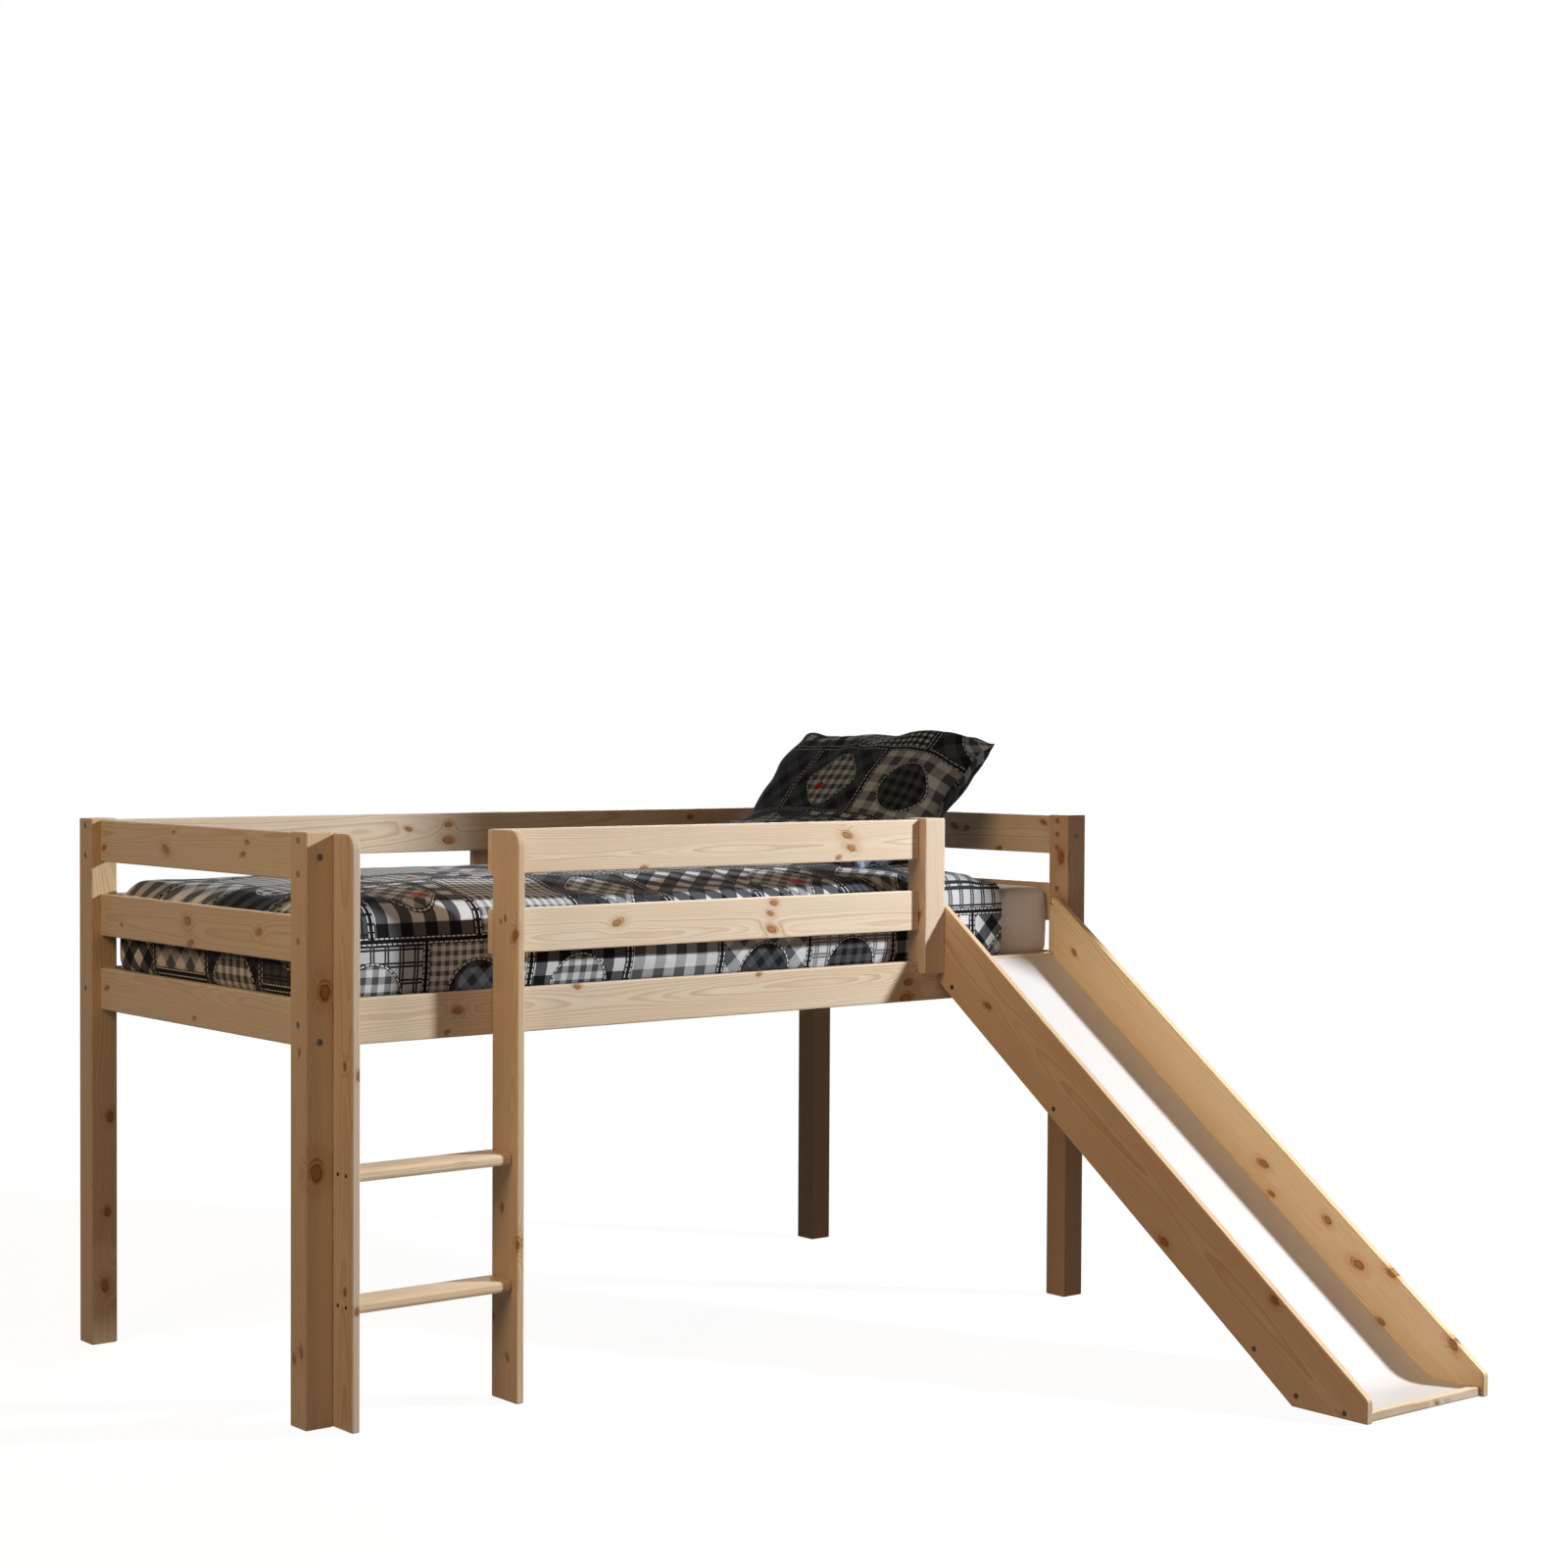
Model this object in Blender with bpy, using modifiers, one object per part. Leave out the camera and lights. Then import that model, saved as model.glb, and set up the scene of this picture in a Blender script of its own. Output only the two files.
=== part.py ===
# Loft bed with a slide: a frame of square posts and flat boards, a short ladder,
# a laminate slide between two boards, a slatted base, a mattress and bedding.
# The origin is the middle of the footprint, on the floor. X runs along the bed to
# the slide end, Y from the slide's foot to the wall side, Z up. All in metres.
import math

import bmesh
import bpy
import numpy as np
from mathutils import Matrix, Vector

# whole bed
bed_length = 2.100
bed_width = 0.980
bed_height = 1.140
slide_reach = 1.200

# posts and boards
post_side = 0.060
board_thick = 0.018
board_wide = 0.090
rail_gap = 0.070
guard_drop = 0.003
edge_round = 0.003
round_steps = 2

# clearances
touch_gap = 0.0003
bore_gap = 0.0004
bedding_gap = 0.0005
cut_overrun = 0.010

# ladder
ladder_inside = 0.357
stile_corner = 0.027
rung_thick = 0.024
rung_deep = 0.074
rung_round = 0.007
rung_height_shares = (0.3054, 0.6520)

# slide entry
slide_entry = 0.392
short_post_foot = 0.028
slide_inside = 0.3483
side_lower_drop = 0.0657
side_upper_rise = 0.1204
side_hook = 0.012
side_top_rise = 0.1285
side_top_round = 0.012
side_foot_length = 0.187
side_foot_round = 0.014
side_edge_round = 0.002
corner_steps = 5

# slide surface
panel_thick = 0.004
panel_head_drop = 0.0058
panel_floor = 0.0165
panel_bend = 0.130
panel_foot_length = 0.1373
panel_edge_round = 0.0008
bend_steps = 10
nose_thick = 0.018
nose_setback = 0.006
nose_low = 0.001
nose_high = 0.021
batten_wide = 0.040
batten_thick = 0.020
foot_batten_thick = 0.011
foot_batten_setback = 0.031
batten_place_shares = (0.0235, 0.3275, 0.8620, 0.9617)

# base
ledge_wide = 0.020
ledge_high = 0.040
ledge_drop = 0.032
slat_count = 12
slat_end_gap = 0.006
slat_margin = 0.0010

# mattress
mattress_thick = 0.165
mattress_end_slack = 0.0075
mattress_head_slack = 0.0020
mattress_front_slack = 0.0195
mattress_rear_slack = 0.0020
mattress_corner = 0.045
mattress_head_corner = 0.030
mattress_edge = 0.025
mattress_corner_steps = 6
mattress_edge_steps = 3

# rear upright
upright_foot_rise = 0.013

# fixings
bolt_head_radius = 0.0065
bolt_head_thick = 0.0026
bolt_shank_radius = 0.003
bolt_grip = 0.030
socket_radius = 0.0025
socket_depth = 0.0016
counterbore_radius = 0.0072
counterbore_depth = 0.003
turn_steps = 20
double_bolt_drop = 0.016
double_bolt_space = 0.064
cross_bolt_rise = 0.013
head_bolt_in = 0.023
head_bolt_drop = 0.0125
head_bolt_length = 0.045
head_bolt_radius = 0.006
head_bolt_crown = 0.0022

# duvet
duvet_side_space = 0.0022
duvet_thick = 0.045
duvet_shoulder_thick = 0.026
duvet_skirt_thick = 0.016
duvet_hem_thick = 0.008
duvet_hem_run = 0.020
duvet_right_thick = 0.020
duvet_side_run = 0.160
duvet_end_run = 0.400
duvet_right_run = 0.120
duvet_setback = 0.1708
duvet_hem_rise = 0.0117
duvet_fold_length = 0.280
duvet_fold_depth = 0.004
duvet_top_columns = 26
duvet_top_rows = 5
duvet_edge_steps = 3
duvet_skirt_steps = 2

# pillow
pillow_width = 0.720
pillow_length = 0.580
pillow_wall_space = 0.026
pillow_end_reach = 0.555
pillow_flat = 0.131
pillow_bend_radius = 0.160
pillow_lean_deg = 49.0
pillow_front_thick = 0.078
pillow_back_thick = 0.100
pillow_seam_height = 0.030
pillow_side_draw = 0.012
pillow_flat_power = 2.6
pillow_full_power = 0.6
pillow_spread_share = 0.85
pillow_cells = 12

# places worked out from the sizes above
x_left = -bed_length / 2
x_right = bed_length / 2
y_front = slide_reach - (bed_width + slide_reach) / 2
y_rear = y_front + bed_width
rail_inset = (post_side - board_thick) / 2
rail_tops = [bed_height - guard_drop - step * (board_wide + rail_gap) for step in range(3)]
rail_names = ["top", "mid", "low"]
front_rail_face = y_front + rail_inset
front_rail_back = front_rail_face + board_thick
rear_rail_face = y_rear - rail_inset
rear_rail_front = rear_rail_face - board_thick
left_rail_face = x_left + rail_inset
right_rail_face = x_right - rail_inset
inner_left = x_left + post_side + touch_gap
inner_right = x_right - post_side - touch_gap
inner_front = y_front + post_side + touch_gap
inner_rear = y_rear - post_side - touch_gap
side_rail_top = rail_tops[2]
short_post_right = x_right - post_side - slide_entry
short_post_left = short_post_right - post_side
slide_left = short_post_right + touch_gap
slide_inner_left = slide_left + board_thick
slide_inner_right = slide_inner_left + slide_inside
slide_right = slide_inner_right + board_thick
rail_reach = y_front - front_rail_face + touch_gap
side_lower_edge = side_rail_top - side_lower_drop
side_upper_edge = side_rail_top + side_upper_rise
side_top = side_rail_top + side_top_rise
side_slope = side_lower_edge / (slide_reach - side_foot_length)
panel_head = side_rail_top - panel_head_drop
panel_corner_reach = slide_reach - panel_foot_length
panel_slope = (panel_head - panel_floor) / (panel_corner_reach - rail_reach)
panel_lean = math.atan(panel_slope)
panel_end = slide_reach - nose_setback - nose_thick - touch_gap
ladder_left = x_left + post_side + touch_gap
ladder_right = ladder_left + board_thick + ladder_inside
ladder_front = front_rail_face - touch_gap - board_wide
side_rail_bottom = side_rail_top - board_wide
ledge_top = side_rail_top - ledge_drop
slat_bottom = ledge_top + touch_gap
slat_top = slat_bottom + board_thick
mattress_bottom = slat_top + touch_gap
mattress_top = mattress_bottom + mattress_thick
mattress_left = inner_left + mattress_end_slack
mattress_right = right_rail_face - board_thick - mattress_head_slack
mattress_front = inner_front + mattress_front_slack
mattress_rear = inner_rear - mattress_rear_slack
duvet_base = mattress_top + bedding_gap
duvet_top = duvet_base + duvet_thick
duvet_right = mattress_right - duvet_setback
duvet_hem_height = slat_top + duvet_hem_rise
pillow_lower_end = x_right - pillow_end_reach
pillow_middle = rear_rail_front - pillow_wall_space - pillow_width / 2
post_middle_front = y_front + post_side / 2
post_middle_rear = y_rear - post_side / 2
post_middle_left = x_left + post_side / 2
post_middle_right = x_right - post_side / 2

# colours, roughness and metallic value of each finish
finishes = {
    "pine": ((0.78, 0.60, 0.40, 1.0), 0.45, 0.0),
    "laminate": ((0.90, 0.89, 0.87, 1.0), 0.30, 0.0),
    "steel": ((0.40, 0.39, 0.38, 1.0), 0.35, 1.0),
    "brass": ((0.70, 0.52, 0.26, 1.0), 0.32, 1.0),
    "ticking": ((0.86, 0.85, 0.82, 1.0), 0.85, 0.0),
    "quilt_cotton": ((0.30, 0.29, 0.29, 1.0), 0.90, 0.0),
    "pillow_cotton": ((0.46, 0.43, 0.40, 1.0), 0.90, 0.0),
}


def clear_scene():
    for item in list(bpy.data.objects):
        bpy.data.objects.remove(item, do_unlink=True)


def new_collection(name):
    group = bpy.data.collections.new(name)
    bpy.context.scene.collection.children.link(group)
    return group


clear_scene()
bed_group = new_collection("loft_bed_with_slide")
cutter_group = new_collection("cutters")


def finish_for(name, finish):
    colour, roughness, metallic = finishes[finish]
    material = bpy.data.materials.new(name + "_" + finish)
    material.use_nodes = True
    shader = material.node_tree.nodes["Principled BSDF"]
    shader.inputs["Base Color"].default_value = colour
    shader.inputs["Roughness"].default_value = roughness
    shader.inputs["Metallic"].default_value = metallic
    material.diffuse_color = colour
    return material


# a new object made from a bmesh, at a place
def place_mesh(name, shape, place, finish):
    mesh = bpy.data.meshes.new(name)
    shape.to_mesh(mesh)
    shape.free()
    piece = bpy.data.objects.new(name, mesh)
    piece.location = place
    piece.data.materials.append(finish_for(name, finish))
    bed_group.objects.link(piece)
    return piece


def round_edges(piece, width, steps):
    bevel = piece.modifiers.new("rounded edges", "BEVEL")
    bevel.width = width
    bevel.segments = steps
    bevel.limit_method = "ANGLE"
    bevel.angle_limit = math.radians(40)
    bevel.harden_normals = False


# a board or post between two corner points, with its edges rounded
def board(name, low, high, finish="pine", rounding=edge_round):
    low = Vector(low)
    high = Vector(high)
    shape = bmesh.new()
    bmesh.ops.create_cube(shape, size=1.0)
    bmesh.ops.scale(shape, vec=high - low, verts=shape.verts)
    piece = place_mesh(name, shape, (low + high) / 2, finish)
    round_edges(piece, rounding, round_steps)
    return piece


# an outline whose corners become arcs: each corner is (u, v, radius)
def arc_corners(corners, steps):
    outline = []
    count = len(corners)
    for index, (u, v, radius) in enumerate(corners):
        here = Vector((u, v))
        if radius == 0:
            outline.append(here)
            continue
        before = (Vector(corners[index - 1][:2]) - here).normalized()
        after = (Vector(corners[(index + 1) % count][:2]) - here).normalized()
        half_angle = before.angle(after) / 2
        reach = radius / math.tan(half_angle)
        centre = here + (before + after).normalized() * (radius / math.sin(half_angle))
        first = here + before * reach - centre
        last = here + after * reach - centre
        turn = math.atan2(first.x * last.y - first.y * last.x, first.dot(last))
        for step in range(steps + 1):
            outline.append(centre + Matrix.Rotation(turn * step / steps, 2) @ first)
    return outline


# a flat plate whose outline stands in the Y-Z plane, centred at x and thick along X
def standing_plate(name, outline, x, thick, finish, rounding, steps):
    curve = bpy.data.curves.new(name + "_outline", "CURVE")
    curve.dimensions = "2D"
    curve.fill_mode = "BOTH"
    curve.extrude = thick / 2
    spline = curve.splines.new("POLY")
    spline.points.add(len(outline) - 1)
    for point, (u, v) in zip(spline.points, outline):
        point.co = (u, v, 0, 1)
    spline.use_cyclic_u = True
    guide = bpy.data.objects.new(name + "_outline", curve)
    guide.rotation_euler = (math.radians(90), 0, math.radians(90))
    guide.location = (x, 0, 0)
    cutter_group.objects.link(guide)
    bpy.context.view_layer.update()
    depsgraph = bpy.context.evaluated_depsgraph_get()
    mesh = bpy.data.meshes.new_from_object(guide.evaluated_get(depsgraph))
    shape = bmesh.new()
    shape.from_mesh(mesh)
    bmesh.ops.remove_doubles(shape, verts=shape.verts, dist=touch_gap / 10)
    bmesh.ops.dissolve_limit(shape, angle_limit=math.radians(1), verts=shape.verts, edges=shape.edges)
    bmesh.ops.recalc_face_normals(shape, faces=shape.faces)
    shape.to_mesh(mesh)
    shape.free()
    piece = bpy.data.objects.new(name, mesh)
    piece.matrix_world = guide.matrix_world
    mesh.materials.clear()
    mesh.materials.append(finish_for(name, finish))
    bed_group.objects.link(piece)
    bpy.data.objects.remove(guide, do_unlink=True)
    round_edges(piece, rounding, steps)
    return piece


axis_turns = {
    "+x": Matrix.Rotation(math.radians(90), 3, "Y"),
    "-x": Matrix.Rotation(math.radians(-90), 3, "Y"),
    "+y": Matrix.Rotation(math.radians(-90), 3, "X"),
    "-y": Matrix.Rotation(math.radians(90), 3, "X"),
}


# a turned cutter that runs along an axis from a start point
def drill(name, target, start, axis, radius, depth, sides=turn_steps, overrun=cut_overrun):
    shape = bmesh.new()
    bmesh.ops.create_cone(
        shape, cap_ends=True, segments=sides, radius1=radius, radius2=radius, depth=depth + overrun
    )
    bmesh.ops.translate(shape, vec=(0, 0, (depth - overrun) / 2), verts=shape.verts)
    mesh = bpy.data.meshes.new(name)
    shape.to_mesh(mesh)
    shape.free()
    cutter = bpy.data.objects.new(name, mesh)
    cutter.matrix_world = Matrix.Translation(start) @ axis_turns[axis].to_4x4()
    cutter.hide_render = True
    cutter.display_type = "WIRE"
    cutter_group.objects.link(cutter)
    hollow = target.modifiers.new(name, "BOOLEAN")
    hollow.operation = "DIFFERENCE"
    hollow.solver = "EXACT"
    hollow.object = cutter
    return cutter


# a box-shaped cutter between two corner points
def carve(name, target, low, high):
    low = Vector(low)
    high = Vector(high)
    shape = bmesh.new()
    bmesh.ops.create_cube(shape, size=1.0)
    bmesh.ops.scale(shape, vec=high - low, verts=shape.verts)
    mesh = bpy.data.meshes.new(name)
    shape.to_mesh(mesh)
    shape.free()
    cutter = bpy.data.objects.new(name, mesh)
    cutter.location = (low + high) / 2
    cutter.hide_render = True
    cutter.display_type = "WIRE"
    cutter_group.objects.link(cutter)
    hollow = target.modifiers.new(name, "BOOLEAN")
    hollow.operation = "DIFFERENCE"
    hollow.solver = "EXACT"
    hollow.object = cutter
    return cutter


# a turned piece from a profile of (radius, height) points, top to bottom, along an axis
def turned(name, profile, start, axis, finish):
    mesh = bpy.data.meshes.new(name)
    points = [(radius, 0, height) for radius, height in profile]
    edges = [(index, index + 1) for index in range(len(points) - 1)]
    mesh.from_pydata(points, edges, [])
    piece = bpy.data.objects.new(name, mesh)
    piece.matrix_world = Matrix.Translation(start) @ axis_turns[axis].to_4x4()
    mesh.materials.append(finish_for(name, finish))
    bed_group.objects.link(piece)
    screw = piece.modifiers.new("turned", "SCREW")
    screw.steps = turn_steps
    screw.render_steps = turn_steps
    screw.use_merge_vertices = True
    screw.merge_threshold = touch_gap / 10
    screw.use_smooth_shade = True
    return piece


# a bolt whose head sits in a counterbore: the shank runs along the axis from the face
def bolt(name, face, axis, length, finish="steel"):
    head_floor = counterbore_depth - touch_gap
    head_face = head_floor - bolt_head_thick
    soft = bolt_head_thick / 4
    profile = [
        (0, length),
        (bolt_shank_radius, length),
        (bolt_shank_radius, head_floor),
        (bolt_head_radius, head_floor),
        (bolt_head_radius, head_face + soft),
        (bolt_head_radius - soft, head_face),
        (0, head_face),
    ]
    piece = turned(name, profile, face, axis, finish)
    turn = axis_turns[axis]
    socket_start = Vector(face) + turn @ Vector((0, 0, head_face))
    drill(name + "_socket", piece, socket_start, axis, socket_radius, socket_depth, 6, socket_depth)
    return piece


# the hole for a bolt: a counterbore in the first piece and a bore through both
def bolt_hole(name, first, second, face, axis, length):
    drill(name + "_seat", first, face, axis, counterbore_radius, counterbore_depth)
    bore_radius = bolt_shank_radius + bore_gap
    drill(name + "_bore", first, face, axis, bore_radius, length + bore_gap)
    if second is not None:
        drill(name + "_bore_in_rail", second, face, axis, bore_radius, length + bore_gap)


# posts
def make_posts():
    lefts = {"left": x_left, "right": x_right - post_side}
    fronts = {"front": y_front, "rear": y_rear - post_side}
    posts = {}
    for end, x in lefts.items():
        for side, y in fronts.items():
            name = "post_" + side + "_" + end
            high = (x + post_side, y + post_side, bed_height)
            posts[name] = board(name, (x, y, 0), high)
    return posts


# three rails at each end, between the front and rear posts
def make_end_rails():
    rails = {}
    faces = {"left": left_rail_face, "right": right_rail_face - board_thick}
    for end, x in faces.items():
        for level, top in zip(rail_names, rail_tops):
            name = "end_rail_" + end + "_" + level
            low = (x, inner_front, top - board_wide)
            high = (x + board_thick, inner_rear, top)
            rails[name] = board(name, low, high)
    return rails


# full-length rails: the side rails at the mattress and the guards along the wall side
def make_long_rails():
    rails = {}
    low_top = rail_tops[2]
    low = (inner_left, front_rail_face, low_top - board_wide)
    high = (inner_right, front_rail_back, low_top)
    rails["side_rail_front"] = board("side_rail_front", low, high)
    rear_names = ["guard_rear_top", "guard_rear_mid", "side_rail_rear"]
    for name, top in zip(rear_names, rail_tops):
        low = (inner_left, rear_rail_front, top - board_wide)
        high = (inner_right, rear_rail_face, top)
        rails[name] = board(name, low, high)
    return rails


# guard rails between the ladder and the slide
def make_front_guards():
    for level, top in zip(["top", "mid"], rail_tops):
        low = (ladder_right, front_rail_face, top - board_wide)
        high = (short_post_left - touch_gap, front_rail_back, top)
        board("guard_front_" + level, low, high)


# the short post beside the slide, cut to stand on the side rail with a cheek in front of it
def make_short_post():
    low = (short_post_left, y_front, side_rail_top - short_post_foot)
    high = (short_post_right, y_front + post_side, bed_height)
    post = board("short_post", low, high)
    cut_low = (short_post_left - cut_overrun, front_rail_face - touch_gap, low[2] - cut_overrun)
    cut_high = (short_post_right + cut_overrun, high[1] + cut_overrun, side_rail_top + touch_gap)
    carve("short_post_step", post, cut_low, cut_high)
    return post


# the upright in the middle of the wall side, outside the rails
def make_rear_upright():
    low = (-board_wide / 2, rear_rail_face + touch_gap, side_rail_bottom + upright_foot_rise)
    high = (board_wide / 2, rear_rail_face + touch_gap + board_thick, rail_tops[0])
    board("rear_upright", low, high)


# ladder: two stiles with a rounded top front corner, and two rungs between them
def make_ladder():
    back = front_rail_face - touch_gap
    corners = [
        (ladder_front, 0, 0),
        (back, 0, 0),
        (back, rail_tops[0], 0),
        (ladder_front, rail_tops[0], stile_corner),
    ]
    outline = arc_corners(corners, corner_steps)
    for name, x in (("stile_left", ladder_left), ("stile_right", ladder_right)):
        standing_plate(name, outline, x + board_thick / 2, board_thick, "pine", edge_round, round_steps)
    inner = ladder_left + board_thick + touch_gap
    outer = ladder_right - touch_gap
    for index, share in enumerate(rung_height_shares):
        bottom = side_rail_bottom * share
        low = (inner, back - rung_deep, bottom)
        high = (outer, back, bottom + rung_thick)
        board("rung_" + str(index + 1), low, high, "pine", rung_round)


# slatted base: a ledge along each side rail and the slats across
def make_base():
    sides = {"front": front_rail_back + touch_gap, "rear": rear_rail_front - touch_gap - ledge_wide}
    for side, y in sides.items():
        low = (inner_left, y, ledge_top - ledge_high)
        high = (inner_right, y + ledge_wide, ledge_top)
        board("ledge_" + side, low, high)
    run = inner_right - inner_left - 2 * slat_end_gap - board_wide
    for index in range(slat_count):
        x = inner_left + slat_end_gap + run * index / (slat_count - 1)
        low = (x, front_rail_back + slat_margin, slat_bottom)
        high = (x + board_wide, rear_rail_front - slat_margin, slat_top)
        board("slat_" + format(index + 1, "02d"), low, high)


# height of the slide boards' lower and upper edges at a distance in front of the posts
def side_height(level, reach):
    return level - side_slope * reach


# slide boards: they stand on the floor and hook over the side rail
def make_slide_sides():
    lower_floor_reach = slide_reach - side_foot_length
    hook_reach = rail_reach - side_hook
    top_reach = (side_upper_edge - side_top) / side_slope
    foot_corner = side_height(side_upper_edge, slide_reach)
    corners = [
        (y_front - slide_reach, 0, 0),
        (y_front - lower_floor_reach, 0, 0),
        (y_front - rail_reach, side_height(side_lower_edge, rail_reach), 0),
        (y_front - rail_reach, side_rail_top + touch_gap, 0),
        (y_front - hook_reach, side_rail_top + touch_gap, 0),
        (y_front - hook_reach, side_top, side_top_round),
        (y_front - top_reach, side_top, side_top_round),
        (y_front - slide_reach, foot_corner, side_foot_round),
    ]
    outline = arc_corners(corners, corner_steps)
    middles = {
        "slide_side_left": slide_left + board_thick / 2,
        "slide_side_right": slide_right - board_thick / 2,
    }
    sides = {}
    for name, x in middles.items():
        sides[name] = standing_plate(name, outline, x, board_thick, "pine", side_edge_round, 1)
    return sides


# height of the sliding surface's straight run at a distance in front of the posts
def panel_height(reach):
    return panel_head - panel_slope * (reach - rail_reach)


# middle line of the slide panel, from the head to the foot, as (y, z) with its normal angle
def panel_line():
    tangent = panel_bend * math.tan(panel_lean / 2)
    line = [(y_front - rail_reach, panel_head, panel_lean)]
    bend_centre_y = y_front - panel_corner_reach - tangent
    bend_centre_z = panel_floor + panel_bend
    for step in range(bend_steps + 1):
        angle = panel_lean * (1 - step / bend_steps)
        y = bend_centre_y + panel_bend * math.sin(angle)
        z = bend_centre_z - panel_bend * math.cos(angle)
        line.append((y, z, angle))
    line.append((y_front - panel_end, panel_floor, 0))
    return line


# slide panel: a thin sheet that follows the line, cut upright at its head
def make_slide_panel():
    upper = []
    lower = []
    for index, (y, z, angle) in enumerate(panel_line()):
        upper.append((y, z))
        if index == 0:
            lower.append((y, z - panel_thick / math.cos(angle)))
        else:
            lower.append((y + panel_thick * math.sin(angle), z - panel_thick * math.cos(angle)))
    outline = upper + lower[::-1]
    middle = (slide_inner_left + slide_inner_right) / 2
    width = slide_inside - 2 * touch_gap
    standing_plate("slide_panel", outline, middle, width, "laminate", panel_edge_round, 1)
    low = (slide_inner_left + touch_gap, y_front - panel_end - touch_gap - nose_thick, nose_low)
    high = (slide_inner_right - touch_gap, y_front - panel_end - touch_gap, nose_high)
    board("slide_nose", low, high)


# battens under the slide panel, square to its underside
def make_slide_battens():
    middle = (slide_inner_left + slide_inner_right) / 2
    length = slide_inside - 2 * touch_gap
    places = []
    sink = panel_thick + touch_gap + batten_thick / 2
    for share in batten_place_shares:
        reach = panel_corner_reach * share
        y = y_front - reach + sink * math.sin(panel_lean)
        z = panel_height(reach) - sink * math.cos(panel_lean)
        places.append((y, z, panel_lean, batten_thick))
    foot_z = panel_floor - panel_thick - touch_gap - foot_batten_thick / 2
    places.append((y_front - panel_end + foot_batten_setback, foot_z, 0, foot_batten_thick))
    for index, (y, z, angle, thick) in enumerate(places):
        shape = bmesh.new()
        bmesh.ops.create_cube(shape, size=1.0)
        bmesh.ops.scale(shape, vec=(length, batten_wide, thick), verts=shape.verts)
        batten = place_mesh("slide_batten_" + str(index + 1), shape, (middle, y, z), "pine")
        batten.rotation_euler = (angle, 0, 0)
        round_edges(batten, side_edge_round, 1)


# a brass bolt through each slide board's top into its post
def make_head_bolts(sides, short_post, right_post):
    y = y_front + head_bolt_in
    height = side_top - head_bolt_drop
    seats = (
        ("head_bolt_left", slide_inner_left, "-x", sides["slide_side_left"], short_post),
        ("head_bolt_right", slide_inner_right, "+x", sides["slide_side_right"], right_post),
    )
    for name, x, axis, side, post in seats:
        profile = [
            (0, head_bolt_length),
            (bolt_shank_radius, head_bolt_length),
            (bolt_shank_radius, -touch_gap),
            (head_bolt_radius, -touch_gap),
            (head_bolt_radius, -touch_gap - head_bolt_crown / 3),
            (head_bolt_radius * math.cos(math.radians(45)), -touch_gap - head_bolt_crown * 0.8),
            (0, -touch_gap - head_bolt_crown),
        ]
        turned(name, profile, (x, y, height), axis, "brass")
        bore_radius = bolt_shank_radius + bore_gap
        bore_start = (x, y, height)
        drill(name + "_side_bore", side, bore_start, axis, bore_radius, head_bolt_length + bore_gap)
        drill(name + "_post_bore", post, bore_start, axis, bore_radius, head_bolt_length + bore_gap)


# bolts that hold the rails to the posts: (name, post, rail, face point, axis)
def make_bolts(posts, end_rails, long_rails):
    double_high = bed_height - double_bolt_drop
    double_low = double_high - double_bolt_space
    middle_height = side_rail_top - board_wide / 2
    cross_heights = {"top": rail_tops[0] - board_wide / 2, "low": side_rail_bottom + cross_bolt_rise}
    length = post_side + bolt_grip
    left = x_left
    right = x_right
    front = y_front
    rear_y = post_middle_rear
    front_y = post_middle_front
    fitted = [
        ("bolt_rear_left_1", "post_rear_left", "guard_rear_top", (left, rear_y, double_high), "+x"),
        ("bolt_rear_left_2", "post_rear_left", "guard_rear_top", (left, rear_y, double_low), "+x"),
        ("bolt_rear_left_3", "post_rear_left", "side_rail_rear", (left, rear_y, middle_height), "+x"),
        ("bolt_front_left_3", "post_front_left", "side_rail_front", (left, front_y, middle_height), "+x"),
        ("bolt_rear_right_3", "post_rear_right", "side_rail_rear", (right, rear_y, middle_height), "-x"),
        ("bolt_front_right_3", "post_front_right", "side_rail_front", (right, front_y, middle_height), "-x"),
    ]
    ends = {"left": post_middle_left, "right": post_middle_right}
    for end, x in ends.items():
        for level, height in cross_heights.items():
            name = "bolt_cross_" + end + "_" + level
            rail = "end_rail_" + end + "_" + level
            fitted.append((name, "post_front_" + end, rail, (x, front, height), "+y"))
    rails = {**end_rails, **long_rails}
    for name, post, rail, face, axis in fitted:
        bolt_hole(name, posts[post], rails[rail], face, axis, length)
        bolt(name, face, axis, length)
    # counterbores of the bolts on the sides that face the wall
    hidden = [
        ("seat_rear_right_1", "post_rear_right", (right, rear_y, double_high), "-x"),
        ("seat_rear_right_2", "post_rear_right", (right, rear_y, double_low), "-x"),
    ]
    for end, x in ends.items():
        for level, height in cross_heights.items():
            name = "seat_cross_" + end + "_" + level
            hidden.append((name, "post_rear_" + end, (x, y_rear, height), "-y"))
    for name, post, face, axis in hidden:
        drill(name, posts[post], face, axis, counterbore_radius, counterbore_depth)


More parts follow.
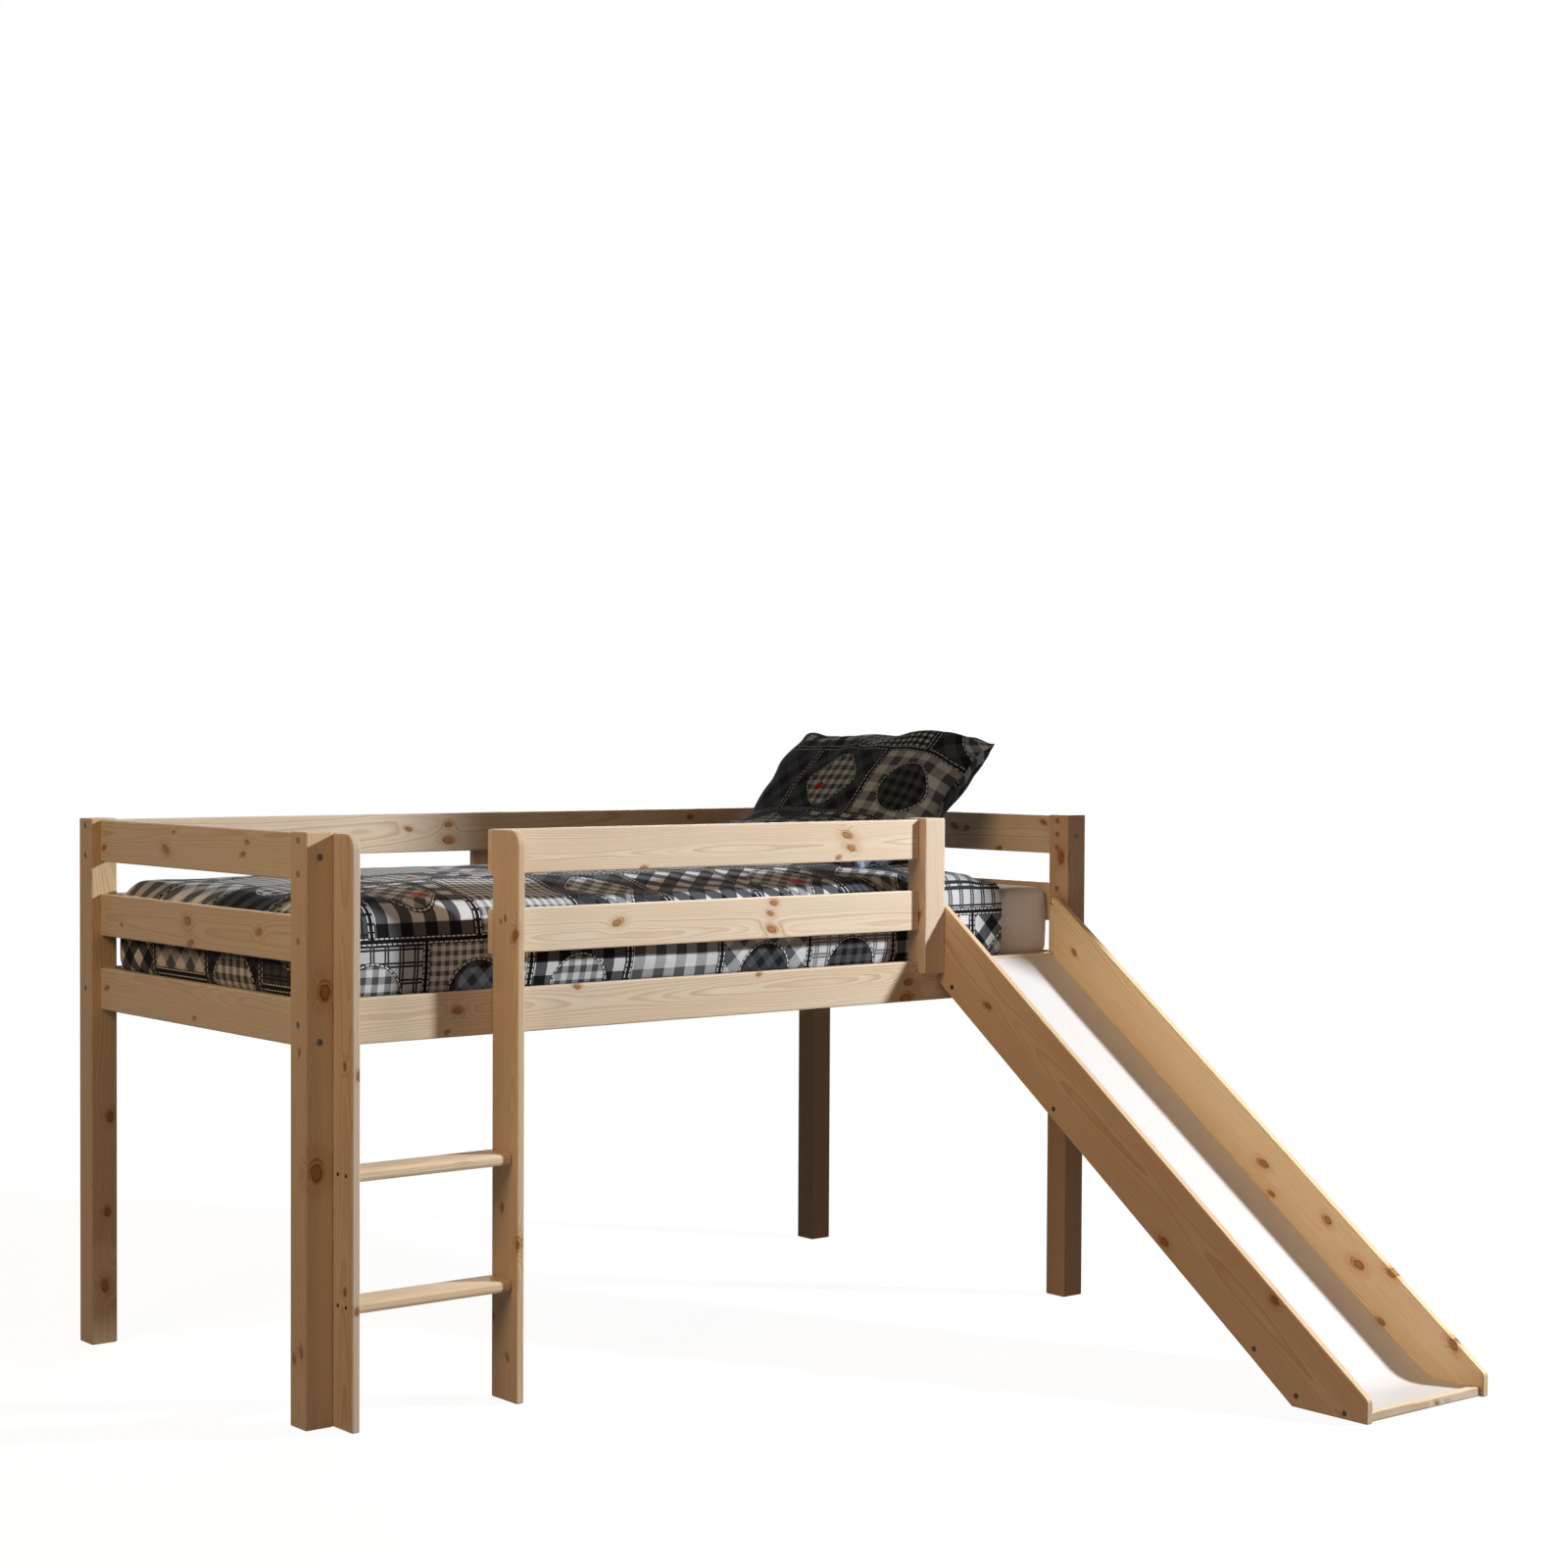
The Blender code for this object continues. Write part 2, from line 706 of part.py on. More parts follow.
# mattress: a block with wide upright corners at the foot, tighter ones at the head, and soft edges
def make_mattress(base):
    low = Vector((mattress_left, mattress_front, mattress_bottom))
    high = Vector((mattress_right, mattress_rear, mattress_top))
    shape = bmesh.new()
    bmesh.ops.create_cube(shape, size=1.0)
    bmesh.ops.scale(shape, vec=high - low, verts=shape.verts)
    upright = [edge for edge in shape.edges if edge.verts[0].co.xy == edge.verts[1].co.xy]
    foot_edges = [edge for edge in upright if edge.verts[0].co.x < 0]
    bmesh.ops.bevel(
        shape,
        geom=foot_edges,
        offset=mattress_corner,
        segments=mattress_corner_steps,
        profile=0.5,
        affect="EDGES",
        clamp_overlap=True,
    )
    upright = [edge for edge in shape.edges if edge.verts[0].co.xy == edge.verts[1].co.xy]
    head_edges = [edge for edge in upright if edge.verts[0].co.x > 0]
    bmesh.ops.bevel(
        shape,
        geom=head_edges,
        offset=mattress_head_corner,
        segments=mattress_corner_steps,
        profile=0.5,
        affect="EDGES",
        clamp_overlap=True,
    )
    mattress = place_mesh("mattress", shape, (low + high) / 2, "ticking")
    round_edges(mattress, mattress_edge, mattress_edge_steps)
    mattress.data.shade_smooth()
    mattress.data.set_sharp_from_angle(angle=math.radians(60))
    mattress.parent = base
    return mattress


# distances along the cloth from the flat middle outwards: flat rim, rounded edge, skirt
def skirt_steps(skirt):
    turn = mattress_edge + duvet_side_space
    flat = mattress_corner + duvet_side_space - turn
    steps = [flat]
    for step in range(duvet_edge_steps):
        steps.append(flat + turn * math.pi / 2 * (step + 1) / duvet_edge_steps)
    for step in range(duvet_skirt_steps):
        steps.append(steps[duvet_edge_steps] + skirt * (step + 1) / duvet_skirt_steps)
    return np.array(steps)


# how far out and how far down a point of the cloth lies after a distance over the rim
def over_the_rim(distance):
    turn = mattress_edge + duvet_side_space
    flat = mattress_corner + duvet_side_space - turn
    angle = np.clip((distance - flat) / turn, 0, math.pi / 2)
    out = np.minimum(distance, flat) + turn * np.sin(angle)
    hang = np.maximum(distance - flat - turn * math.pi / 2, 0)
    down = turn * (1 - np.cos(angle)) + hang
    return out, down


# 0 below the first value, 1 above the second, and smooth between them
def ease(value, first, second):
    share = np.clip((value - first) / (second - first), 0, 1)
    return share * share * (3 - 2 * share)


# duvet: a cloth over the mattress with a skirt on three sides, thick on top
def make_duvet(base):
    rim = mattress_corner + duvet_side_space
    left = mattress_left - duvet_side_space + rim
    right = duvet_right
    front = mattress_front - duvet_side_space + rim
    rear = mattress_rear + duvet_side_space - rim
    turn = mattress_edge + duvet_side_space
    skirt = duvet_base - turn - duvet_hem_height
    steps = skirt_steps(skirt)
    across = np.linspace(front, rear, duvet_top_rows + 1)
    along = np.linspace(left, right, duvet_top_columns + 1)
    rows = np.concatenate([front - steps[::-1], across, rear + steps])
    columns = np.concatenate([left - steps[::-1], along])
    p, q = np.meshgrid(columns, rows)
    over_x = np.minimum(p - left, 0)
    over_y = np.minimum(q - front, 0) + np.maximum(q - rear, 0)
    distance = np.maximum(np.abs(over_x), np.abs(over_y))
    # within a corner the direction fans evenly from one side to the other
    smaller = np.minimum(np.abs(over_x), np.abs(over_y))
    fan = smaller / np.where(distance > 0, distance, 1) * math.pi / 4
    steep = np.abs(over_y) > np.abs(over_x)
    way_x = np.where(steep, np.sin(fan), np.cos(fan)) * np.sign(over_x)
    way_y = np.where(steep, np.cos(fan), np.sin(fan)) * np.sign(over_y)
    out, down = over_the_rim(distance)
    x = np.maximum(p, left) + out * way_x
    y = np.clip(q, front, rear) + out * way_y
    z = duvet_base - down
    # fullest in the middle, thinner at the shoulder, the right-hand edge, the skirt and the hem
    inward = np.minimum(q - front, rear - q)
    crown = ease(inward, 0, duvet_side_run) * ease(p - left, 0, duvet_end_run)
    thick = duvet_shoulder_thick + (duvet_thick - duvet_shoulder_thick) * crown
    edge_thick = np.minimum(thick, duvet_right_thick)
    thick = edge_thick + (thick - edge_thick) * ease(right - p, 0, duvet_right_run)
    folds = duvet_fold_depth * (1 + np.cos(2 * math.pi * (p + q) / duvet_fold_length)) / 2
    skirt_share = ease(down, 0, turn)
    thick = thick + (duvet_skirt_thick - folds - thick) * skirt_share
    hem_share = ease(down, duvet_base - duvet_hem_height - duvet_hem_run, duvet_base - duvet_hem_height)
    thick = thick + (duvet_hem_thick - thick) * hem_share
    row_count, column_count = p.shape
    points = np.stack([x, y, z], axis=-1).reshape(-1, 3)
    shape = bmesh.new()
    verts = [shape.verts.new(point) for point in points.tolist()]
    for row in range(row_count - 1):
        for column in range(column_count - 1):
            corner = row * column_count + column
            ring = (corner, corner + 1, corner + column_count + 1, corner + column_count)
            shape.faces.new([verts[index] for index in ring])
    duvet = place_mesh("duvet", shape, (0, 0, 0), "quilt_cotton")
    weights = duvet.vertex_groups.new(name="thickness")
    for index, value in enumerate((thick / duvet_thick).reshape(-1).tolist()):
        weights.add([index], value, "REPLACE")
    solid = duvet.modifiers.new("filling", "SOLIDIFY")
    solid.thickness = duvet_thick
    solid.offset = 1
    solid.vertex_group = "thickness"
    duvet.data.shade_smooth()
    duvet.parent = base
    return duvet


# place and lean of the pillow's middle line after a distance from its lower end
def pillow_path(distance):
    lean = math.radians(pillow_lean_deg)
    turn = pillow_bend_radius * lean
    angle = np.clip((distance - pillow_flat) / pillow_bend_radius, 0, lean)
    beyond = np.maximum(distance - pillow_flat - turn, 0)
    level = np.minimum(distance, pillow_flat)
    x = level + pillow_bend_radius * np.sin(angle) + beyond * math.cos(lean)
    z = pillow_bend_radius * (1 - np.cos(angle)) + beyond * math.sin(lean)
    return x, z, angle


# pillow: a cage crowned on both faces, bent up towards the end of the bed
def make_pillow(base):
    count = pillow_cells + 1
    # rows lie closer together towards the seams
    even = np.linspace(-1, 1, count) * math.pi / 2 * pillow_spread_share
    spread = np.sin(even) / math.sin(math.pi / 2 * pillow_spread_share)
    u, v = np.meshgrid(spread, spread)
    dome = (1 - np.abs(u) ** pillow_flat_power) * (1 - np.abs(v) ** pillow_flat_power)
    crown = dome**pillow_full_power
    # the sides are drawn in between the corners
    width = u * (pillow_width / 2 - pillow_side_draw * (1 - v * v))
    distance = pillow_length / 2 + v * (pillow_length / 2 - pillow_side_draw * (1 - u * u))
    x, z, angle = pillow_path(distance)
    floor_height = duvet_top + bedding_gap
    seam = floor_height + pillow_seam_height
    faces = []
    for thick in (pillow_front_thick, -pillow_back_thick):
        move = thick * crown
        face_x = pillow_lower_end + x - move * np.sin(angle)
        face_y = pillow_middle + width
        face_z = np.maximum(seam + z + move * np.cos(angle), floor_height)
        faces.append(np.stack([face_x, face_y, face_z], axis=-1))
    upper = {}
    lower = {}
    shape = bmesh.new()
    for row in range(count):
        for column in range(count):
            at_seam = row in (0, count - 1) or column in (0, count - 1)
            vert = shape.verts.new(faces[0][row, column].tolist())
            upper[row, column] = vert
            lower[row, column] = vert if at_seam else shape.verts.new(faces[1][row, column].tolist())
    for row in range(count - 1):
        for column in range(count - 1):
            ring = ((row, column), (row, column + 1), (row + 1, column + 1), (row + 1, column))
            shape.faces.new([upper[place] for place in reversed(ring)])
            shape.faces.new([lower[place] for place in ring])
    pillow = place_mesh("pillow", shape, (0, 0, 0), "pillow_cotton")
    smooth = pillow.modifiers.new("smooth", "SUBSURF")
    smooth.levels = 1
    smooth.render_levels = 1
    pillow.data.shade_smooth()
    pillow.parent = base
    return pillow


# an empty that a loose piece lifts off with, at the middle of the bed
def lifting_base(name, parent):
    base = bpy.data.objects.new(name, None)
    base.parent = parent
    bed_group.objects.link(base)
    return base


posts = make_posts()
end_rails = make_end_rails()
long_rails = make_long_rails()
make_front_guards()
short_post = make_short_post()
make_rear_upright()
make_ladder()
make_base()
slide_sides = make_slide_sides()
make_slide_panel()
make_slide_battens()
make_head_bolts(slide_sides, short_post, posts["post_front_right"])
make_bolts(posts, end_rails, long_rails)
mattress_base = lifting_base("mattress_lift", None)
duvet_base_point = lifting_base("duvet_lift", mattress_base)
pillow_base = lifting_base("pillow_lift", duvet_base_point)
make_mattress(mattress_base)
make_duvet(duvet_base_point)
make_pillow(pillow_base)
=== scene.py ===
import math

import bmesh
import bpy
import numpy as np
from mathutils import Matrix, Vector


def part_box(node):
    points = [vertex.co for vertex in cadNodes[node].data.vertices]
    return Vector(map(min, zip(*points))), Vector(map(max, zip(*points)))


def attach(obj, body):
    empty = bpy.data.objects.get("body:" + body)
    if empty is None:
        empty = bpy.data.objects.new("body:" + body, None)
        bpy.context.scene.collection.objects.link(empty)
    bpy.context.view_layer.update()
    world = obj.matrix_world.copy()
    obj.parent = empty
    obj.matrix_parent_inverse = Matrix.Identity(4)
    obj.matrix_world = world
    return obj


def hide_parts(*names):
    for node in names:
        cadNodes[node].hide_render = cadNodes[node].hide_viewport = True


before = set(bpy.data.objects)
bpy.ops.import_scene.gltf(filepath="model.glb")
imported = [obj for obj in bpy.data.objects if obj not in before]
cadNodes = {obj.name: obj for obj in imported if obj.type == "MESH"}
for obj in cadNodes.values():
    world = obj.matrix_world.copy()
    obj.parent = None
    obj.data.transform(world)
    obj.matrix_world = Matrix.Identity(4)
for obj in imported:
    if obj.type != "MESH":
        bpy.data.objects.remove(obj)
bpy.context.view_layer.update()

scene = bpy.context.scene
print("bed frame loaded:", len(cadNodes), "pieces")

# camera, as the bed was photographed: a long lens at the foot of the bed, almost level
viewpoint = {
    "place": (-3.64902, -4.43473, 1.33785),
    "yaw": 0.6716057,
    "pitch": 0.0256857,
    "roll": 0.0045623,
    "lens": 62.92,
    "sensor": 36.0,
    "shiftAcross": 0.03696,
    "shiftUp": 0.01022,
    "farthest": 200,
}


def makeCamera():
    yaw, pitch, roll = viewpoint["yaw"], viewpoint["pitch"], viewpoint["roll"]
    ahead = math.cos(pitch)
    forward = Vector((math.sin(yaw) * ahead, math.cos(yaw) * ahead, -math.sin(pitch)))
    level = Vector((math.cos(yaw), -math.sin(yaw), 0))
    upright = level.cross(forward)
    right = level * math.cos(roll) + upright * math.sin(roll)
    up = upright * math.cos(roll) - level * math.sin(roll)
    data = bpy.data.cameras.new("bedCamera")
    data.lens = viewpoint["lens"]
    data.sensor_width = viewpoint["sensor"]
    data.shift_x = viewpoint["shiftAcross"]
    data.shift_y = viewpoint["shiftUp"]
    data.clip_end = viewpoint["farthest"]
    camera = bpy.data.objects.new("bedCamera", data)
    turn = Matrix((right, up, -forward)).transposed().to_4x4()
    camera.matrix_world = Matrix.Translation(viewpoint["place"]) @ turn
    scene.collection.objects.link(camera)
    scene.camera = camera


makeCamera()


# a number socket that takes plain arithmetic: each sign adds a Math node
class Value:
    def __init__(self, tree, socket):
        self.tree = tree
        self.socket = socket

    def __add__(self, other):
        return calc(self.tree, "ADD", self, other)

    def __sub__(self, other):
        return calc(self.tree, "SUBTRACT", self, other)

    def __rsub__(self, other):
        return calc(self.tree, "SUBTRACT", other, self)

    def __mul__(self, other):
        return calc(self.tree, "MULTIPLY", self, other)

    def __truediv__(self, other):
        return calc(self.tree, "DIVIDE", self, other)

    def __pow__(self, other):
        return calc(self.tree, "POWER", self, other)

    def __lt__(self, other):
        return calc(self.tree, "LESS_THAN", self, other)

    def __gt__(self, other):
        return calc(self.tree, "GREATER_THAN", self, other)

    def __abs__(self):
        return calc(self.tree, "ABSOLUTE", self)

    __radd__ = __add__
    __rmul__ = __mul__


# an output of a node: numbers take arithmetic, colours and vectors stay sockets
def output(node, key=0):
    socket = node.outputs[key]
    return Value(node.id_data, socket) if socket.type == "VALUE" else socket


def feed(tree, socket, value):
    if isinstance(value, Value):
        value = value.socket
    if isinstance(value, bpy.types.NodeSocket):
        tree.links.new(value, socket)
    elif socket.type == "RGBA" and len(value) == 3:
        socket.default_value = (*value, 1)
    else:
        socket.default_value = value


def feedAll(tree, sockets, values):
    for key, value in values.items():
        feed(tree, sockets[key], value)


def addNode(tree, kind, inputs=None, **settings):
    node = tree.nodes.new(kind)
    for key, value in settings.items():
        setattr(node, key, value)
    feedAll(tree, node.inputs, inputs or {})
    return node


def calc(tree, operation, *values):
    return output(addNode(tree, "ShaderNodeMath", dict(enumerate(values)), operation=operation))


def larger(tree, *values):
    return calc(tree, "MAXIMUM", *values)


def vectorCalc(tree, operation, *values):
    node = addNode(tree, "ShaderNodeVectorMath", dict(enumerate(values)), operation=operation)
    return output(node, "Value" if operation == "LENGTH" else "Vector")


def split(tree, vector):
    node = addNode(tree, "ShaderNodeSeparateXYZ", {0: vector})
    return [output(node, axis) for axis in range(3)]


def combine(tree, x, y, z):
    return output(addNode(tree, "ShaderNodeCombineXYZ", {0: x, 1: y, 2: z}))


def mixColour(tree, share, first, second, blend="MIX"):
    inputs = {0: share, 6: first, 7: second}
    return output(addNode(tree, "ShaderNodeMix", inputs, data_type="RGBA", blend_type=blend), 2)


# a colour multiplied by another, or by a tone
def tinted(tree, colour, tone):
    if isinstance(tone, Value):
        tone = combine(tree, tone, tone, tone)
    return mixColour(tree, 1.0, colour, tone, "MULTIPLY")


def mixValue(tree, share, first, second):
    return output(addNode(tree, "ShaderNodeMix", {0: share, 2: first, 3: second}, data_type="FLOAT"))


# cloudy value of a vector, around one half; three scales stretch it
def cloud(tree, vector, scale, detail=2.0, rough=0.5):
    if isinstance(scale, tuple):
        vector, scale = vectorCalc(tree, "MULTIPLY", vector, scale), 1.0
    inputs = {"Vector": vector, "Scale": scale, "Detail": detail, "Roughness": rough}
    return output(addNode(tree, "ShaderNodeTexNoise", inputs))


# smooth step of a value from one level at low to another at high
def fade(tree, value, low, high, start=0.0, end=1.0, kind="SMOOTHSTEP"):
    inputs = {0: value, 1: low, 2: high, 3: start, 4: end}
    return output(addNode(tree, "ShaderNodeMapRange", inputs, interpolation_type=kind, clamp=True))


# colours along a ramp, straight from one to the next
def colourSteps(tree, value, stops):
    node = addNode(tree, "ShaderNodeValToRGB", {0: value})
    ramp = node.color_ramp
    while len(ramp.elements) < len(stops):
        ramp.elements.new(0.5)
    for element, (place, colour) in zip(ramp.elements, stops):
        element.position = place
        element.color = (*colour, 1)
    return output(node)


def objectPlace(tree):
    return addNode(tree, "ShaderNodeTexCoord").outputs["Object"]


# places in a board's own frame: from its middle, with its grain along X
def boardPlace(tree, middle, turn):
    inputs = {"Vector": objectPlace(tree), "Location": middle, "Rotation": turn}
    return output(addNode(tree, "ShaderNodeMapping", inputs, vector_type="TEXTURE"))


# a shader group: inputs by name with their first values, outputs by name with their kinds
def newGroup(name, inputs, outputs):
    tree = bpy.data.node_groups.new(name, "ShaderNodeTree")
    for label, value in inputs.items():
        kind = "NodeSocketVector" if isinstance(value, tuple) else "NodeSocketFloat"
        tree.interface.new_socket(name=label, in_out="INPUT", socket_type=kind).default_value = value
    for label, kind in outputs.items():
        tree.interface.new_socket(name=label, in_out="OUTPUT", socket_type="NodeSocket" + kind)
    entry = tree.nodes.new("NodeGroupInput")
    start = {label: output(entry, label) for label in inputs}
    return tree, start, tree.nodes.new("NodeGroupOutput").inputs


def useGroup(tree, group, inputs):
    node = tree.nodes.new("ShaderNodeGroup")
    node.node_tree = group
    feedAll(tree, node.inputs, inputs)
    return {socket.name: output(node, socket.name) for socket in node.outputs}


def newMaterial(name, fixed):
    material = bpy.data.materials.new(name)
    material.use_nodes = True
    shader = material.node_tree.nodes["Principled BSDF"]
    for label, value in fixed.items():
        shader.inputs[label].default_value = value
    return material, material.node_tree, shader.inputs


# colour, roughness and bumps of a shader
def dressShader(tree, sockets, colour, rough, height, distance, strength):
    inputs = {"Height": height, "Distance": distance, "Strength": strength}
    bump = addNode(tree, "ShaderNodeBump", inputs)
    feedAll(tree, sockets, {"Base Color": colour, "Roughness": rough, "Normal": output(bump)})


# pine: what a user would change; stretches are along the grain and across it
pine = {
    "pale": (0.83, 0.745, 0.615),
    "warm": (0.76, 0.62, 0.46),
    "line": (0.57, 0.36, 0.19),
    "knotMiddle": (0.40, 0.185, 0.070),
    "knotRim": (0.155, 0.055, 0.020),
    "knotRing": (0.60, 0.42, 0.235),
    "knotLine": (0.40, 0.21, 0.095),
    "knotSteps": (
        (0.0, "knotRim"),
        (0.07, "knotMiddle"),
        (0.46, "knotMiddle"),
        (0.57, "knotRim"),
        (0.67, "knotRing"),
        (0.82, "knotRing"),
        (0.92, "knotLine"),
    ),
    "knotShare": 0.93,
    "knotLong": 0.62,
    "knotWobble": 0.50,
    "knotEdge": (1.50, 1.22),
    "knotBulge": 1.5,
    "knotPush": 0.45,
    "knotRings": 20.0,
    "haloShare": 0.30,
    "haloLevels": (0.0012, 0.0085),
    "ringStep": 0.0036,
    "ringRise": (0.30, 0.90),
    "ringDrop": (0.93, 1.0),
    "yearDepth": 0.65,
    "ringDrift": 4.0,
    "swayStretch": (1.6, 9.0),
    "swayDepth": 0.050,
    "rippleStretch": (9.0, 40.0),
    "rippleDepth": 0.0034,
    "lineDepth": 0.62,
    "fibreStretch": (14.0, 620.0),
    "fibreTones": (0.93, 1.05),
    "poreStretch": (45.0, 900.0),
    "poreLevels": (0.70, 0.80),
    "poreDepth": 0.10,
    "cloudStretch": (2.2, 14.0),
    "cloudDepth": 0.9,
    "gloss": 0.46,
    "lateGloss": 0.07,
    "fibreGloss": 0.10,
    "sheen": 0.12,
    "heights": (0.45, 0.45, 0.40, 0.30),
    "bumpDepth": 0.00022,
    "seed": 11,
    "knotsPerMetre": 1.5,
}


# one knot: the rings bulge round it, and its own rings are counted from its middle
def makeKnotGroup():
    tree, start, end = newGroup(
        "pineKnot",
        {
            "Board": (0, 0, 0),
            "Place": (0, 0, 0),
            "Size": 0.006,
            "Skew": 0.0,
            "Depth": 0.0,
            "Bend": 0.0,
            "Mask": 0.0,
            "Tone": 0.0,
        },
        {"Bend": "Float", "Mask": "Float", "Tone": "Float"},
    )
    away = vectorCalc(tree, "SUBTRACT", start["Board"], start["Place"])
    along, through, across = split(tree, away)
    slanted = along * pine["knotLong"] + across * start["Skew"]
    flat = combine(tree, slanted, through * start["Depth"], across)
    reach = vectorCalc(tree, "LENGTH", flat) / start["Size"]
    wobble = (cloud(tree, start["Board"], 90.0) - 0.5) * pine["knotWobble"]
    rim = reach + wobble
    bulge = start["Size"] * pine["knotBulge"] / ((reach * pine["knotPush"]) ** 4.0 + 1.0)
    mask = fade(tree, rim, *pine["knotEdge"])
    # one side of the rim is darker than the other
    side = (across + slanted) / start["Size"]
    tone = mixValue(tree, mask, start["Tone"], side * 0.16 + rim)
    bend = start["Bend"] + bulge
    feedAll(tree, end, {"Bend": bend, "Mask": larger(tree, start["Mask"], mask), "Tone": tone})
    return tree


# pine board: rings round a pith line that runs nearly along the board, so flat
# faces show long arches and edges show close lines; fibres and pores run along X
def makePineGroup():
    tree, start, end = newGroup(
        "pineWood",
        {
            "Board": (0, 0, 0),
            "Pith": (0, 0.06, 0),
            "Tilt": (0, 0.02, 0.03),
            "Step": 0.0036,
            "Seed": 0.0,
            "Warmth": 0.5,
            "Bend": 0.0,
            "Mask": 0.0,
            "Tone": 0.0,
        },
        {"Color": "Color", "Roughness": "Float", "Height": "Float"},
    )
    shift = combine(tree, start["Seed"], start["Seed"] * 1.7, 0.0)
    board = vectorCalc(tree, "ADD", start["Board"], shift)

    def streaks(along, across, detail=2.0):
        return cloud(tree, board, (along, across, across), detail)

    sway = (streaks(*pine["swayStretch"], 1.0) - 0.5) * pine["swayDepth"]
    ripple = (streaks(*pine["rippleStretch"]) - 0.5) * pine["rippleDepth"]
    lean = addNode(
        tree,
        "ShaderNodeVectorMath",
        {0: start["Tilt"], "Scale": split(tree, start["Board"])[0]},
        operation="SCALE",
    )
    heart = vectorCalc(tree, "SUBTRACT", start["Board"], start["Pith"])
    heart = vectorCalc(tree, "SUBTRACT", heart, output(lean))
    reach = vectorCalc(tree, "LENGTH", vectorCalc(tree, "MULTIPLY", heart, (0.0, 1.0, 1.0)))
    count = (reach + (sway + ripple) + start["Bend"]) / start["Step"]
    # good and poor years: the spacing of the rings drifts
    drift = cloud(tree, combine(tree, count * 0.16, start["Seed"], 0.0), 1.0, 1.0)
    count = count + drift * pine["ringDrift"]
    place = calc(tree, "FRACT", count)
    rise = fade(tree, place, *pine["ringRise"])
    drop = fade(tree, place, *pine["ringDrop"], 1.0, 0.0)
    year = calc(tree, "FLOOR", count)
    year = output(addNode(tree, "ShaderNodeTexWhiteNoise", {"W": year}, noise_dimensions="1D"))
    late = rise * drop * (year * pine["yearDepth"] + (1 - pine["yearDepth"]))
    # fibres, pores and a broad change of tone
    fibre = streaks(*pine["fibreStretch"])
    pores = fade(tree, streaks(*pine["poreStretch"], 1.0), *pine["poreLevels"])
    warm = start["Warmth"] + (streaks(*pine["cloudStretch"]) - 0.5) * pine["cloudDepth"]
    ground = mixColour(tree, fade(tree, warm, 0.0, 1.0), pine["pale"], pine["warm"])
    halo = fade(tree, start["Bend"], *pine["haloLevels"])
    lines = late * (halo * pine["haloShare"] + pine["lineDepth"])
    wood = mixColour(tree, lines, ground, pine["line"])
    shade = fade(tree, fibre, 0.25, 0.75, *pine["fibreTones"], "LINEAR")
    wood = tinted(tree, wood, shade - pores * pine["poreDepth"])
    # knots: a brown core with fine rings and a dark edge, a tan ring and a brown outline
    rings = calc(tree, "SINE", start["Tone"] * pine["knotRings"])
    knotTone = rings * 0.025 + start["Tone"] * 0.667
    knot = colourSteps(tree, knotTone, [(place, pine[part]) for place, part in pine["knotSteps"]])
    wood = mixColour(tree, halo * pine["haloShare"], wood, pine["line"])
    wood = mixColour(tree, start["Mask"] * pine["knotShare"], wood, knot)
    gloss = pine["gloss"] - late * pine["lateGloss"] + (fibre - 0.5) * pine["fibreGloss"]
    lateHigh, fibreHigh, poreDeep, knotHigh = pine["heights"]
    height = late * lateHigh + fibre * fibreHigh - pores * poreDeep + start["Mask"] * knotHigh
    feedAll(tree, end, {"Color": wood, "Roughness": gloss, "Height": height})
    return tree


knotGroup = makeKnotGroup()
pineGroup = makePineGroup()

# painted light and shade: boards made darker, paler or yellower than the others where the light on
# them differs, as shares of red, green and blue
paintedBoardLight = {
    "post_front_left": (0.92, 0.85, 0.72),
    "post_rear_left": (0.86, 0.78, 0.62),
    "guard_rear_top": (0.90, 0.89, 0.88),
    "post_front_right": (0.80, 0.67, 0.57),
    "post_rear_right": (0.78, 0.64, 0.53),
    "stile_right": (0.96, 0.87, 0.74),
    "guard_front_top": (1.07, 1.07, 1.08),
    "guard_front_mid": (1.11, 1.12, 1.13),
    "end_rail_left_top": (1.06, 1.12, 1.12),
    "end_rail_left_mid": (1.03, 1.04, 1.00),
    "end_rail_left_low": (1.06, 1.12, 1.12),
    "stile_left": (0.92, 0.90, 0.89),
    "rung_1": (1.16, 1.12, 1.03),
    "rung_2": (1.16, 1.12, 1.03),
    "slide_side_left": (0.96, 0.87, 0.77),
    "slide_side_right": (1.05, 0.98, 0.80),
}
